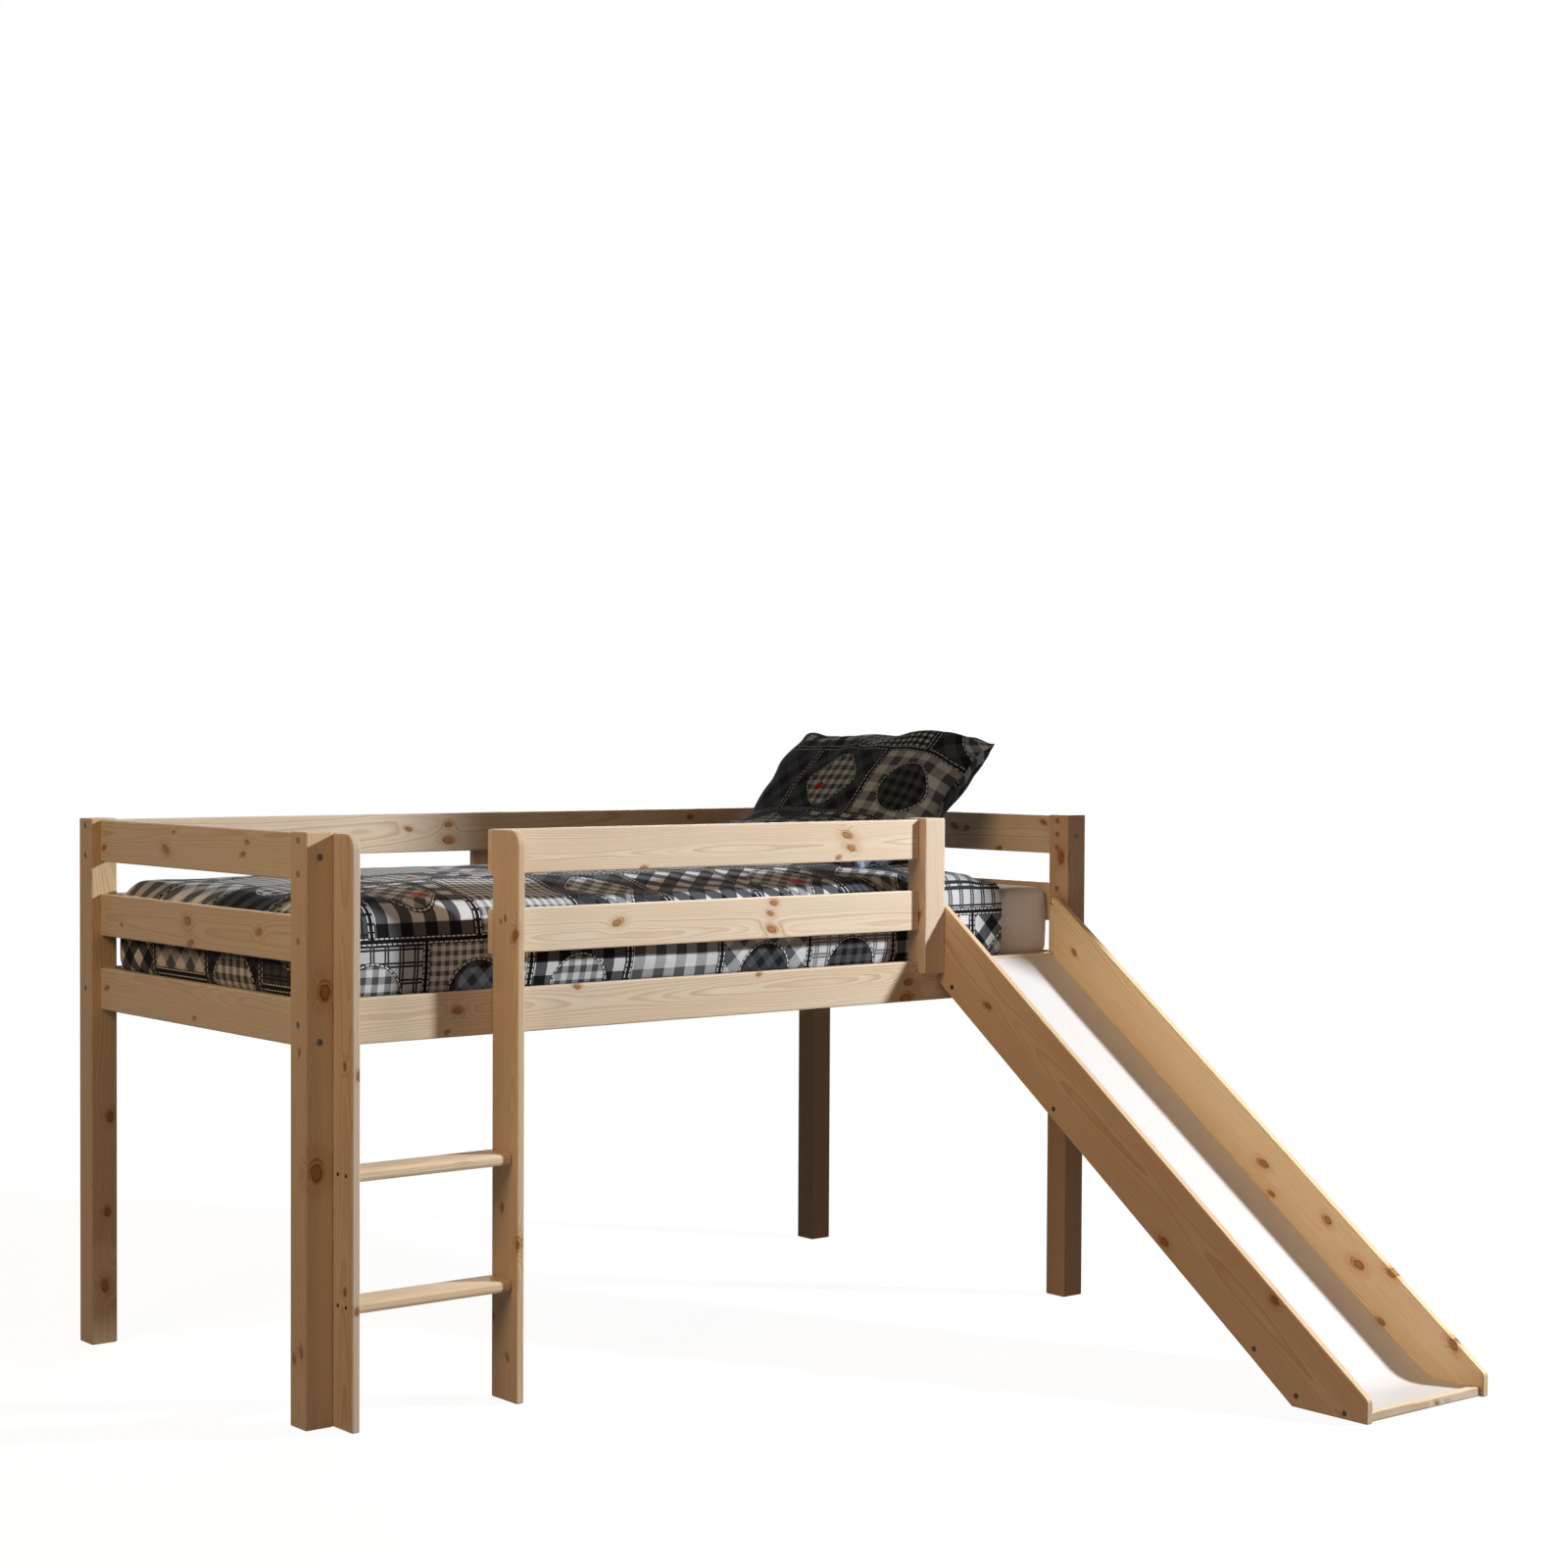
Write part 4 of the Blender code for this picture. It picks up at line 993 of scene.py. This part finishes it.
def makePatchworkGroup():
    tree, start, end = newGroup(
        "patchworkPrint",
        {"Cloth": (0, 0, 0), "Seed": 0.0},
        {"Color": "Color", "Stitch": "Float"},
    )
    wide, high = patchwork["wide"], patchwork["high"]

    def stripes(value, period, share=0.5):
        return calc(tree, "FRACT", value / period) < share

    def checks(a, b, period):
        return (stripes(a, period) + stripes(b, period)) * 0.5

    def net(a, b, period, share):
        return larger(tree, stripes(a, period, share), stripes(b, period, share))

    def dashes(run):
        return stripes(run, patchwork["dashStep"], patchwork["dashShare"])

    def choose(test, other, chosen):
        return mixValue(tree, test, other, chosen)

    def distance(a, b):
        return vectorCalc(tree, "LENGTH", combine(tree, a, b, 0.0))

    # staggered bricks: a and b are measured from the middle of each
    across, up, _ = split(tree, start["Cloth"])
    row = calc(tree, "FLOOR", up / high)
    odd = calc(tree, "MODULO", abs(row), 2.0)
    moved = odd * (wide * 0.5) + across
    column = calc(tree, "FLOOR", moved / wide)
    a = moved - (column + 0.5) * wide
    b = up - (row + 0.5) * high

    def randomOf(extra):
        cell = combine(tree, column, row, start["Seed"] + extra)
        return output(addNode(tree, "ShaderNodeTexWhiteNoise", {"Vector": cell}))

    kind, mood, motif = (randomOf(extra) for extra in (0.0, 13.7, 29.1))
    slantA, slantB = (a + b) * patchwork["slant"], (a - b) * patchwork["slant"]
    paneStep, paneShare, paneGap = (patchwork[key] for key in ("paneStep", "paneShare", "paneGap"))
    single = net(a, b, paneStep, paneShare)
    double = net(a + paneGap, b + paneGap, paneStep, paneShare)
    spread, base = patchwork["paneTones"]
    panes = larger(tree, single, double) * spread + base
    tone = checks(a, b, patchwork["bigCheck"])
    tone = choose(kind > brickDraws["smallAbove"], tone, checks(a, b, patchwork["smallCheck"]))
    diamonds = checks(slantA, slantB, patchwork["diamond"])
    tone = choose(kind > brickDraws["diamondAbove"], tone, diamonds)
    tone = choose(kind > brickDraws["paneAbove"], tone, panes)
    # moods: light, full contrast or dark
    night = tone * patchwork["nightTones"] + (1 - patchwork["nightTones"])
    tone = choose(mood > brickDraws["lightBelow"], tone * patchwork["lightTones"], tone)
    tone = choose(mood > brickDraws["nightAbove"], tone, night)
    # a tacked round or squarish patch in most bricks
    radius = patchwork["roundRadius"]
    squareReach = (abs(slantA) ** 4.0 + abs(slantB) ** 4.0) ** 0.25
    reach = choose(mood > brickDraws["squareAbove"], distance(a, b), squareReach)
    present = motif > brickDraws["patchAbove"]
    slantChecks = checks(slantA, slantB, patchwork["patchDiamond"])
    plainChecks = checks(a, b, patchwork["patchCheck"])
    patch = choose(motif > brickDraws["plainPatchAbove"], slantChecks, plainChecks)
    patch = patch * patchwork["patchTones"]
    spread, base = patchwork["lightPatch"]
    patch = choose(mood < brickDraws["lightBelow"], patch, patch * spread + base)
    tone = choose((reach < radius) * present, tone, patch)
    edge = abs(reach - radius)
    turn = calc(tree, "ARCTAN2", b, a) * radius
    ropeLine = (edge < patchwork["ropeHalf"]) * present
    ropeDash = (edge < patchwork["ropeDashHalf"]) * present * dashes(turn)
    # seams between the bricks: a dark line with two rows of white dashes
    sideA, sideB = wide / 2 - abs(a), high / 2 - abs(b)
    near = calc(tree, "MINIMUM", sideA, sideB)
    seam = near < patchwork["seamHalf"]
    onRow = abs(near - patchwork["dashPlace"]) < patchwork["dashHalf"]
    seamDash = onRow * dashes(choose(sideA < sideB, a, b))
    dark = larger(tree, seam, ropeLine)
    dash = larger(tree, seamDash, ropeDash)
    tone = choose(dash, choose(dark, tone, 1.0), 0.0)
    shades = [(0.0, patchwork["white"]), (0.5, patchwork["grey"]), (1.0, patchwork["dark"])]
    colour = colourSteps(tree, tone, shades)
    # red accents: a round button in some bricks, a hatched square in others
    dotA, dotB = a - patchwork["dotPlace"][0], b - patchwork["dotPlace"][1]
    button = distance(dotA, dotB) < patchwork["buttonRadius"]
    button = button * (motif > brickDraws["buttonAbove"])
    hatch = net(a, b, patchwork["hatchStep"], patchwork["hatchShare"])
    hatch = hatch * (larger(tree, abs(dotA), abs(dotB)) < patchwork["hatchHalf"])
    chosen = (motif > brickDraws["hatchAbove"]) * (motif < brickDraws["hatchBelow"])
    colour = mixColour(tree, larger(tree, button, hatch * chosen), colour, patchwork["accent"])
    feedAll(tree, end, {"Color": colour, "Stitch": dash - dark * 0.5})
    return tree


patchworkGroup = makePatchworkGroup()
# the printed cotton: a little sheen, and hardly any gloss
cotton = {"Sheen Weight": 0.02, "Sheen Roughness": 0.5, "Specular IOR Level": 0.06}


def printedMaterial(name, seed, tintAndShade):
    material, tree, sockets = newMaterial(name, cotton)
    cloth = addNode(tree, "ShaderNodeUVMap", uv_map="cloth").outputs[0]
    printed = useGroup(tree, patchworkGroup, {"Cloth": cloth, "Seed": seed})
    weave = useGroup(tree, weaveGroup, {"Cloth": cloth, "Threads": 1100.0})
    # the colour shares tint the print, and for the pillow they also paint shade onto it
    colour = tinted(tree, tinted(tree, printed["Color"], weave["Shade"]), tintAndShade)
    height = printed["Stitch"] * 0.5 + weave["Height"]
    dressShader(tree, sockets, colour, weave["Shade"] * -0.15 + 1.05, height, 0.0003, 0.5)
    return material


# points past a corner's middle are pushed out, so that its quarter circle of the wide
# radius becomes a square corner with a tighter circle: the reach at an angle is the flat
# side's, or the tighter circle's where the angle meets it
def squareCorner(point, middleX, middleY, wide, tight):
    dx, dy = point[..., 0] - middleX, point[..., 1] - middleY
    away = np.hypot(dx, dy)
    safe = np.maximum(away, 1e-9)
    more, less = np.maximum(abs(dx), abs(dy)) / safe, np.minimum(abs(dx), abs(dy)) / safe
    inset = wide - tight
    both = inset * (more + less)
    circle = both + np.sqrt(np.maximum(both * both - 2 * inset * inset + tight * tight, 0))
    side = wide / np.maximum(more, 0.5)
    reach = np.where(side * less <= inset, side, circle)
    grow = reach / wide
    point[..., 0] = middleX + dx * grow
    point[..., 1] = middleY + dy * grow


mattress = {
    "colour": (0.87, 0.87, 0.88),
    "cell": 0.018,
    "dents": (5, 7, 0.10, 0.45),
    "dentDepth": 0.0006,
    "inset": 0.0008,
    "sideBow": 0.0015,
    "feltBump": 0.0006,
}
# its felted cover: more sheen than the cotton
felted = {"Sheen Weight": 0.2, "Sheen Roughness": 0.5, "Specular IOR Level": 0.2}


# felt with small pits, patchy in tone
def mattressMaterial():
    material, tree, sockets = newMaterial("mattress_cover", felted)
    place = objectPlace(tree)
    felt = cloud(tree, place, 520.0, 4.0, 0.7)
    pits = output(addNode(tree, "ShaderNodeTexVoronoi", {"Vector": place, "Scale": 170.0}), "Distance")
    pits = fade(tree, pits, 0.10, 0.34)
    patchy = cloud(tree, place, 9.0, 3.0)
    tone = fade(tree, felt, 0.3, 0.7, 0.92, 1.06) * fade(tree, patchy, 0.3, 0.7, 0.95, 1.04)
    # painted shade: the hollows of the pits are a tenth darker
    tone = tone * (pits * 0.10 + 0.90)
    colour = tinted(tree, mattress["colour"], tone)
    dressShader(tree, sockets, colour, felt * 0.2 + 0.78, pits * 0.8 + felt, mattress["feltBump"], 0.7)
    return material


# distances from a middle line to both ends: the rim's steps, even cells between, the rim again
def spaced(low, high, cell, steps, bothEnds=True):
    even = np.linspace(low, high, int((high - low) / cell))
    return np.concatenate([low - steps[::-1], even, high + steps if bothEnds else []])


# mattress: two trays over a rounded box, meeting half way down the side
def makeMattress():
    rim, turn = bed["corner"], bed["edge"]
    left, right = mattressLow.x + rim, mattressHigh.x - rim
    front, rear = mattressLow.y + rim, mattressHigh.y - rim
    fall = (mattressHigh.z - mattressLow.z) / 2 - turn
    steps = rimSteps(rim - turn, turn, fall, 6, 5)
    columns = spaced(left, right, mattress["cell"], steps)
    rows = spaced(front, rear, mattress["cell"], steps)
    p, q = np.meshgrid(columns, rows)
    point, normal, down = layOver(p, q, left, right, front, rear, rim, turn)
    dents = softFolds(p, q, *mattress["dents"]) * mattress["dentDepth"] - mattress["inset"]
    bow = mattress["sideBow"] * np.sin(ease(down, turn, turn + fall) * math.pi / 2)
    point = point + normal * (dents + bow)[..., None]
    for middleY, past in ((front, q < front), (rear, q > rear)):
        corner = past & (p > right)
        turned = point[corner]
        squareCorner(turned, right, middleY, rim, bed["headCorner"])
        point[corner] = turned
    top = point + np.array([0, 0, mattressHigh.z])
    bottom = point * np.array([1, 1, -1]) + np.array([0, 0, mattressLow.z])
    points = np.concatenate([top.reshape(-1, 3), bottom.reshape(-1, 3)])
    faces = gridFaces(*p.shape) + gridFaces(*p.shape, flip=True, start=p.size)
    material = mattressMaterial()
    piece = meshPiece("mattress_cover", points, faces, material, "mattress")
    joinSeams(piece, 0.0002)
    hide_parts("mattress")


# points that lie on each other become one, and faces are turned to point outwards
def joinSeams(piece, gap):
    work = bmesh.new()
    work.from_mesh(piece.data)
    bmesh.ops.remove_doubles(work, verts=work.verts, dist=gap)
    bmesh.ops.recalc_face_normals(work, faces=work.faces)
    work.to_mesh(piece.data)
    work.free()
    piece.data.shade_smooth()


makeMattress()
print("mattress made")

clothStuff = {
    "quality": 5,
    "mass": 0.2,
    "tension_stiffness": 15,
    "compression_stiffness": 15,
    "shear_stiffness": 5,
    "bending_stiffness": 0.3,
}


# swelling of a closed form: cloth pressed from inside for some frames, then each
# point's move is cut to its own limit; held points stay
def puffUp(piece, pressure, grow, limit, held=(), frames=20):
    count = len(piece.data.vertices)
    before = np.empty(count * 3)
    piece.data.vertices.foreach_get("co", before)
    cloth = piece.modifiers.new("swelling", "CLOTH")
    settings = cloth.settings
    for label, value in clothStuff.items():
        setattr(settings, label, value)
    settings.shrink_min = -grow
    settings.use_pressure = True
    settings.uniform_pressure_force = pressure
    settings.effector_weights.gravity = 0
    if len(held):
        group = piece.vertex_groups.new(name="held")
        group.add([int(point) for point in held], 1.0, "REPLACE")
        settings.vertex_group_mass = "held"
    cloth.point_cache.frame_start = 1
    cloth.point_cache.frame_end = frames
    for frameNumber in range(1, frames + 1):
        scene.frame_set(frameNumber)
    shape = piece.evaluated_get(bpy.context.evaluated_depsgraph_get())
    after = np.empty(count * 3)
    shape.data.vertices.foreach_get("co", after)
    piece.modifiers.remove(cloth)
    piece.vertex_groups.clear()
    scene.frame_set(1)
    before, after = before.reshape(-1, 3), after.reshape(-1, 3)
    move = after - before
    length = np.linalg.norm(move, axis=1)
    move *= np.minimum(1, limit / np.maximum(length, 1e-9))[:, None]
    piece.data.vertices.foreach_set("co", (before + move).ravel())
    piece.data.update()
    print(piece.name, "swelled by up to", round(float(length.max()) * 1000, 1), "mm")


# one level of smoothing, the same in every view
def smooth(piece):
    finer = piece.modifiers.new("smoothing", "SUBSURF")
    finer.levels = 1
    finer.render_levels = 1


# duvet: what a user would change
duvet = {
    "print": (21.5, (1, 0.99, 0.98)),
    "printShift": 0.078,
    "setback": 0.1708,
    "middle": 0.045,
    "shoulder": 0.026,
    "skirt": 0.016,
    "hem": 0.008,
    "hemHeight": 0.815,
    "rightEdge": 0.020,
    "folds": (21, 9, 0.11, 0.42),
    "creases": (34, 5, 0.16, 0.50),
    "foldDepth": 0.0035,
    "foldShares": (0.55, 0.35),
    "bulge": 0.011,
    "cell": 0.0145,
    "pressure": 3.0,
    "grow": 0.040,
    "topMove": 0.013,
    "postMove": 0.0006,
    "sideMove": 0.004,
    "thinnest": 0.004,
    "crownWide": 0.160,
    "crownLong": 0.400,
    "edgeLong": 0.120,
    "hemDeep": 0.020,
    "shortPost": 0.505,
}


# the cloth's place, with its thickness measured outwards from what it lies on
def makeDuvet():
    space = bed["sideSpace"]
    rim, turn, cell = bed["corner"] + space, bed["edge"] + space, duvet["cell"]
    left = mattressLow.x - space + rim
    right = mattressHigh.x - duvet["setback"]
    front, rear = mattressLow.y - space + rim, mattressHigh.y + space - rim
    fall = bed["duvetBase"] - turn - duvet["hemHeight"]
    steps = rimSteps(rim - turn, turn, fall, 5, int(fall / cell))
    columns = spaced(left, right, cell, steps, bothEnds=False)
    p, q = np.meshgrid(columns, spaced(front, rear, cell, steps))
    point, normal, down = layOver(p, q, left, right + 10, front, rear, rim, turn)
    inward = np.minimum(q - front, rear - q)
    crown = ease(inward, 0, duvet["crownWide"]) * ease(p - left, 0, duvet["crownLong"])
    thick = duvet["shoulder"] + (duvet["middle"] - duvet["shoulder"]) * crown
    edge = np.minimum(thick, duvet["rightEdge"])
    thick = edge + (thick - edge) * ease(right - p, 0, duvet["edgeLong"])
    skirtShare = ease(down, 0, turn)
    thick = thick + (duvet["skirt"] - thick) * skirtShare
    bottom = bed["duvetBase"] - duvet["hemHeight"]
    hemShare = ease(down, bottom - duvet["hemDeep"], bottom)
    folds = softFolds(p, q, *duvet["folds"])
    creases = 1 - np.abs(softFolds(p, q, *duvet["creases"]))
    loose = 1 - hemShare
    soft, sharp = duvet["foldShares"]
    relief = duvet["foldDepth"] * (soft * folds + sharp * creases - sharp)
    thick = thick + relief * loose * (1 - 0.35 * skirtShare)
    # the front swells between the posts
    between = ease(p, mattressLow.x + 0.03, mattressLow.x + 0.10)
    between = between * ease(duvet["shortPost"] - p, 0, 0.05)
    swell = ease(down, 0.010, 0.055) * ease(bottom - down, 0, 0.045) * between * (q < front)
    thick = thick + duvet["bulge"] * swell * (0.85 + 0.15 * folds)
    thick = thick + (duvet["hem"] - thick) * hemShare * (1 - 0.3 * between)
    thick = np.maximum(thick, duvet["thinnest"])
    base = point + np.array([0, 0, bed["duvetBase"]])
    outer = base + normal * thick[..., None]
    flat = np.stack([p, q + duvet["printShift"]], axis=-1)
    points, faces, cloth = closedShell(outer, base, flat, 0.25)
    material = printedMaterial("duvet_print", *duvet["print"])
    piece = meshPiece("duvet_cover", points, faces, material, "duvet")
    clothMap(piece, cloth)
    # the upper layer swells freely on top and hardly at the posts
    sideMove = duvet["postMove"] + duvet["sideMove"] * between
    onTop = ease(bed["edge"] * 0.5 - down, 0, bed["edge"] * 0.5)
    move = sideMove + (duvet["topMove"] - sideMove) * onTop
    move = move * loose * ease(right - p, 0, 0.03)
    limit = np.zeros(len(points))
    limit[: p.size] = move.ravel()
    held = np.concatenate([np.arange(p.size, len(points)), np.flatnonzero(hemShare.ravel() > 0.5)])
    puffUp(piece, duvet["pressure"], duvet["grow"], limit, held)
    smooth(piece)
    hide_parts("duvet")


makeDuvet()
print("duvet made")

# pillow: what a user would change
pillow = {
    # the print's seed and its colour shares, darker and cooler than the duvet's: painted shade on the
    # pillow
    "print": (319.0, (0.56, 0.64, 0.71)),
    "wide": 0.720,
    "long": 0.596,
    "lowerEnd": 0.495,
    "middle": 0.665,
    "flat": 0.131,
    "bend": 0.160,
    "lean": math.radians(49.0),
    "front": 0.066,
    "back": 0.086,
    "archPower": 3.0,
    "crownPower": 0.55,
    "seamHeight": 0.030,
    "sideDraw": 0.014,
    "ear": 0.012,
    "droop": 0.026,
    "tuck": 0.030,
    "waves": (15, 5, 0.10, 0.34),
    "seamWave": 0.007,
    "creases": (8, 6, 0.05, 0.22),
    "creaseDepth": 0.0022,
    "folds": (9, 5, 0.2, 0.5),
    "foldDepth": 0.004,
    "backPrint": 3.0,
    "cells": 64,
    "borderCells": 0.85,
    "pressure": 4.0,
    "grow": 0.03,
    "mostMove": 0.020,
}


# place and lean of the pillow's middle line after a distance from its lower end:
# level, then round an arc, then straight up the slope
def pillowLine(distance):
    turn = pillow["bend"] * pillow["lean"]
    angle = np.clip((distance - pillow["flat"]) / pillow["bend"], 0, pillow["lean"])
    beyond = np.maximum(distance - pillow["flat"] - turn, 0)
    level = np.minimum(distance, pillow["flat"])
    x = level + pillow["bend"] * np.sin(angle) + beyond * math.cos(pillow["lean"])
    z = pillow["bend"] * (1 - np.cos(angle)) + beyond * math.sin(pillow["lean"])
    return x, z, angle


# no point lies lower than the ground, which it rests on
def keepAbove(piece, ground):
    place = np.empty(len(piece.data.vertices) * 3)
    piece.data.vertices.foreach_get("co", place)
    place[2::3] = np.maximum(place[2::3], ground)
    piece.data.vertices.foreach_set("co", place)
    piece.data.update()


# two faces crowned between four seams: height is the product of two flattened arches
def makePillow():
    count = pillow["cells"] + 1
    even = np.linspace(-1, 1, count) * math.pi / 2 * pillow["borderCells"]
    spread = np.sin(even) / math.sin(math.pi / 2 * pillow["borderCells"])
    u, v = np.meshgrid(spread, spread)
    dome = (1 - np.abs(u) ** pillow["archPower"]) * (1 - np.abs(v) ** pillow["archPower"])
    crown = np.maximum(dome, 0) ** pillow["crownPower"]
    width = u * (pillow["wide"] / 2 - pillow["sideDraw"] * (1 - v * v))
    distance = pillow["long"] / 2 + v * (pillow["long"] / 2 - pillow["sideDraw"] * (1 - u * u))
    # the upper corner at the wall is tucked in, the one at the front is a drooping ear
    tucked = ease(u, 0.55, 1) * ease(v, 0.45, 1)
    drawn = ease(-u, 0.78, 1) * ease(v, 0.78, 1)
    width = width - pillow["tuck"] * tucked - pillow["ear"] * drawn
    distance = distance - pillow["tuck"] * 0.8 * tucked - pillow["droop"] * drawn
    x, z, angle = pillowLine(distance)
    ground = bed["duvetBase"] + duvet["middle"] + 0.0005
    seam = ground + pillow["seamHeight"]
    flat = np.stack([width, distance], axis=-1)
    creases = softFolds(width, distance, *pillow["creases"]) * pillow["creaseDepth"]
    folds = softFolds(width, distance, *pillow["folds"]) * pillow["foldDepth"]
    pull = (creases + folds) * np.minimum(crown * 1.5, 1)
    wave = pillow["seamWave"] * softFolds(width, distance, *pillow["waves"])
    wave = wave * (1 - crown) * ease(v, -0.6, 0.2)
    layers = []
    for thick in (pillow["front"], -pillow["back"]):
        move = thick * crown + wave + pull * (1 if thick > 0 else -1)
        faceX = pillow["lowerEnd"] + x - move * np.sin(angle)
        faceZ = np.maximum(seam + z + move * np.cos(angle), ground)
        layers.append(np.stack([faceX, pillow["middle"] + width, faceZ], axis=-1))
    points = np.concatenate([layers[0].reshape(-1, 3), layers[1].reshape(-1, 3)])
    faces = gridFaces(*u.shape, flip=True) + gridFaces(*u.shape, start=u.size)
    cloth = np.concatenate([flat.reshape(-1, 2), flat.reshape(-1, 2) + pillow["backPrint"]])
    material = printedMaterial("pillow_print", *pillow["print"])
    piece = meshPiece("pillow_cover", points, faces, material, "pillow")
    clothMap(piece, cloth)
    joinSeams(piece, 0.0003)
    puffUp(piece, pillow["pressure"], pillow["grow"], pillow["mostMove"])
    keepAbove(piece, ground)
    smooth(piece)
    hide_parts("pillow")


makePillow()
print("pillow made")

# studio: a key lamp at the front right with a card beside it, a warm soft lamp high on
# the left, faint ones low in front and behind the bed, and a dim warm room
studio = {
    "keyPlace": (4.10, -3.00, 3.30),
    "keyPower": 1575.0,
    "keyColour": (0.98, 0.995, 1.0),
    "keyRadius": 0.26,
    "cardReach": 4.4,
    "cardUpper": (46.7, 16.0),
    "cardLower": (46.3, 31.0),
    "cardWide": 4.0,
    "cardPast": (2.2, 1.6),
    "floorPower": 900.0,
    "areas": {
        "leftLamp": ((-5.0, -1.2, 3.9), (2.6, 2.6), 112.0, (1.0, 0.65, 0.385)),
        "frontLamp": ((-0.7, -3.1, 0.6), (1.6, 1.0), 8.5, (1.0, 0.80, 0.70)),
        "backLamp": ((4.5, 4.8, 2.4), (3.0, 3.0), 230.0, (1.0, 0.92, 0.84)),
    },
    "room": (0.015, 0.0072, 0.0038),
    "floorGlow": 0.93,
    "floorShade": 0.17,
    "floorSpecks": (0.97, 1.0),
    "floorBounce": (0.058, 0.033, 0.017),
    "floorHalf": 60.0,
    "floorFade": (2.2, 5.0),
    "aimHeight": 0.8,
}


def aim(item, place, source):
    turn = Vector(source).to_track_quat("Z", "Y").to_matrix().to_4x4()
    item.matrix_world = Matrix.Translation(place) @ turn


# a way out from the key lamp, by its angle from Y towards the bed and its angle down
def keyWay(across, down):
    across, down = math.radians(across), math.radians(down)
    level = math.cos(down)
    return Vector((-math.sin(across) * level, math.cos(across) * level, -math.sin(down)))


def roundLamp(name, power):
    light = bpy.data.lights.new(name, "POINT")
    light.energy = power
    light.color = studio["keyColour"]
    light.shadow_soft_size = studio["keyRadius"]
    lamp = bpy.data.objects.new(name, light)
    lamp.location = studio["keyPlace"]
    scene.collection.objects.link(lamp)
    return lamp


# what a lamp lights or is blocked by: only the named thing, or all but it
def lampGroup(name, item, state):
    group = bpy.data.collections.new(name)
    group.objects.link(item)
    group.collection_objects[0].light_linking.link_state = state
    return group


def makeLights():
    for name, (place, size, power, colour) in studio["areas"].items():
        area = bpy.data.lights.new(name, "AREA")
        area.shape = "RECTANGLE"
        area.size, area.size_y = size
        area.energy = power
        area.color = colour
        lamp = bpy.data.objects.new(name, area)
        scene.collection.objects.link(lamp)
        aim(lamp, place, Vector(place) - Vector((0, 0, studio["aimHeight"])))


# one flat face with four corners
def flatPiece(name, corners):
    mesh = bpy.data.meshes.new(name)
    mesh.from_pydata([list(corner) for corner in corners], [], [(0, 1, 2, 3)])
    piece = bpy.data.objects.new(name, mesh)
    scene.collection.objects.link(piece)
    return piece


# the card keeps the key lamp off the far right; it is seen by shadows alone
def makeCard():
    place = Vector(studio["keyPlace"])
    upper = place + keyWay(*studio["cardUpper"]) * studio["cardReach"]
    lower = place + keyWay(*studio["cardLower"]) * studio["cardReach"]
    along = (lower - upper).normalized()
    facing = (upper - place).normalized()
    aside = along.cross(facing).normalized()
    if aside.x < 0:
        aside = -aside
    pastTop, pastBottom = studio["cardPast"]
    top, bottom = upper - along * pastTop, lower + along * pastBottom
    aside = aside * studio["cardWide"]
    card = flatPiece("shadeCard", [top, bottom, bottom + aside, top + aside])
    for ray in ("camera", "diffuse", "glossy", "transmission", "volume_scatter"):
        setattr(card, "visible_" + ray, False)
    return card


# the key lamp is for the bed; a twin without the card gives the floor the bed's shadow
def makeKey(floor, card):
    key = roundLamp("keyLamp", studio["keyPower"])
    key.light_linking.receiver_collection = lampGroup("allButFloor", floor, "EXCLUDE")
    twin = roundLamp("floorLamp", studio["floorPower"])
    twin.light_linking.receiver_collection = lampGroup("floorAlone", floor, "INCLUDE")
    twin.light_linking.blocker_collection = lampGroup("allButCard", card, "EXCLUDE")


# one where a ray comes from the camera, or from metal or glass that mirrors the room
def seenRay(tree):
    path = addNode(tree, "ShaderNodeLightPath").outputs
    seen = larger(tree, path["Is Camera Ray"], path["Is Glossy Ray"])
    return larger(tree, seen, path["Is Transmission Ray"])


def makeRoom():
    world = bpy.data.worlds.new("paleRoom")
    world.use_nodes = True
    scene.world = world
    tree = world.node_tree
    tree.nodes.clear()
    colour = mixColour(tree, seenRay(tree), studio["room"], (1, 1, 1))
    background = addNode(tree, "ShaderNodeBackground", {"Color": colour})
    addNode(tree, "ShaderNodeOutputWorld", {"Surface": output(background)})


def makeFloor():
    half = studio["floorHalf"]
    corners = [(-half, -half, 0), (half, -half, 0), (half, half, 0), (-half, half, 0)]
    floor = flatPiece("paleFloor", corners)
    material = bpy.data.materials.new("paleFloor")
    material.use_nodes = True
    tree = material.node_tree
    tree.nodes.clear()

    def shader(kind, inputs):
        return output(addNode(tree, "ShaderNode" + kind, inputs))

    place = objectPlace(tree)
    away = fade(tree, vectorCalc(tree, "LENGTH", place), *studio["floorFade"])
    specks = fade(tree, cloud(tree, place, 40.0, 3.0), 0.3, 0.7, *studio["floorSpecks"])
    shade = specks * studio["floorShade"]
    lit = shader("BsdfDiffuse", {"Color": combine(tree, shade, shade, shade)})
    glow = shader("Emission", {"Strength": studio["floorGlow"]})
    near = shader("AddShader", {0: lit, 1: glow})
    shown = shader("MixShader", {0: away, 1: near, 2: shader("Emission", {"Strength": 1.0})})
    bounce = shader("BsdfDiffuse", {"Color": studio["floorBounce"]})
    both = shader("MixShader", {0: seenRay(tree), 1: bounce, 2: shown})
    addNode(tree, "ShaderNodeOutputMaterial", {"Surface": both})
    floor.data.materials.append(material)
    return floor


makeLights()
makeRoom()
makeKey(makeFloor(), makeCard())
scene.view_settings.view_transform = "Standard"
print("studio lit")
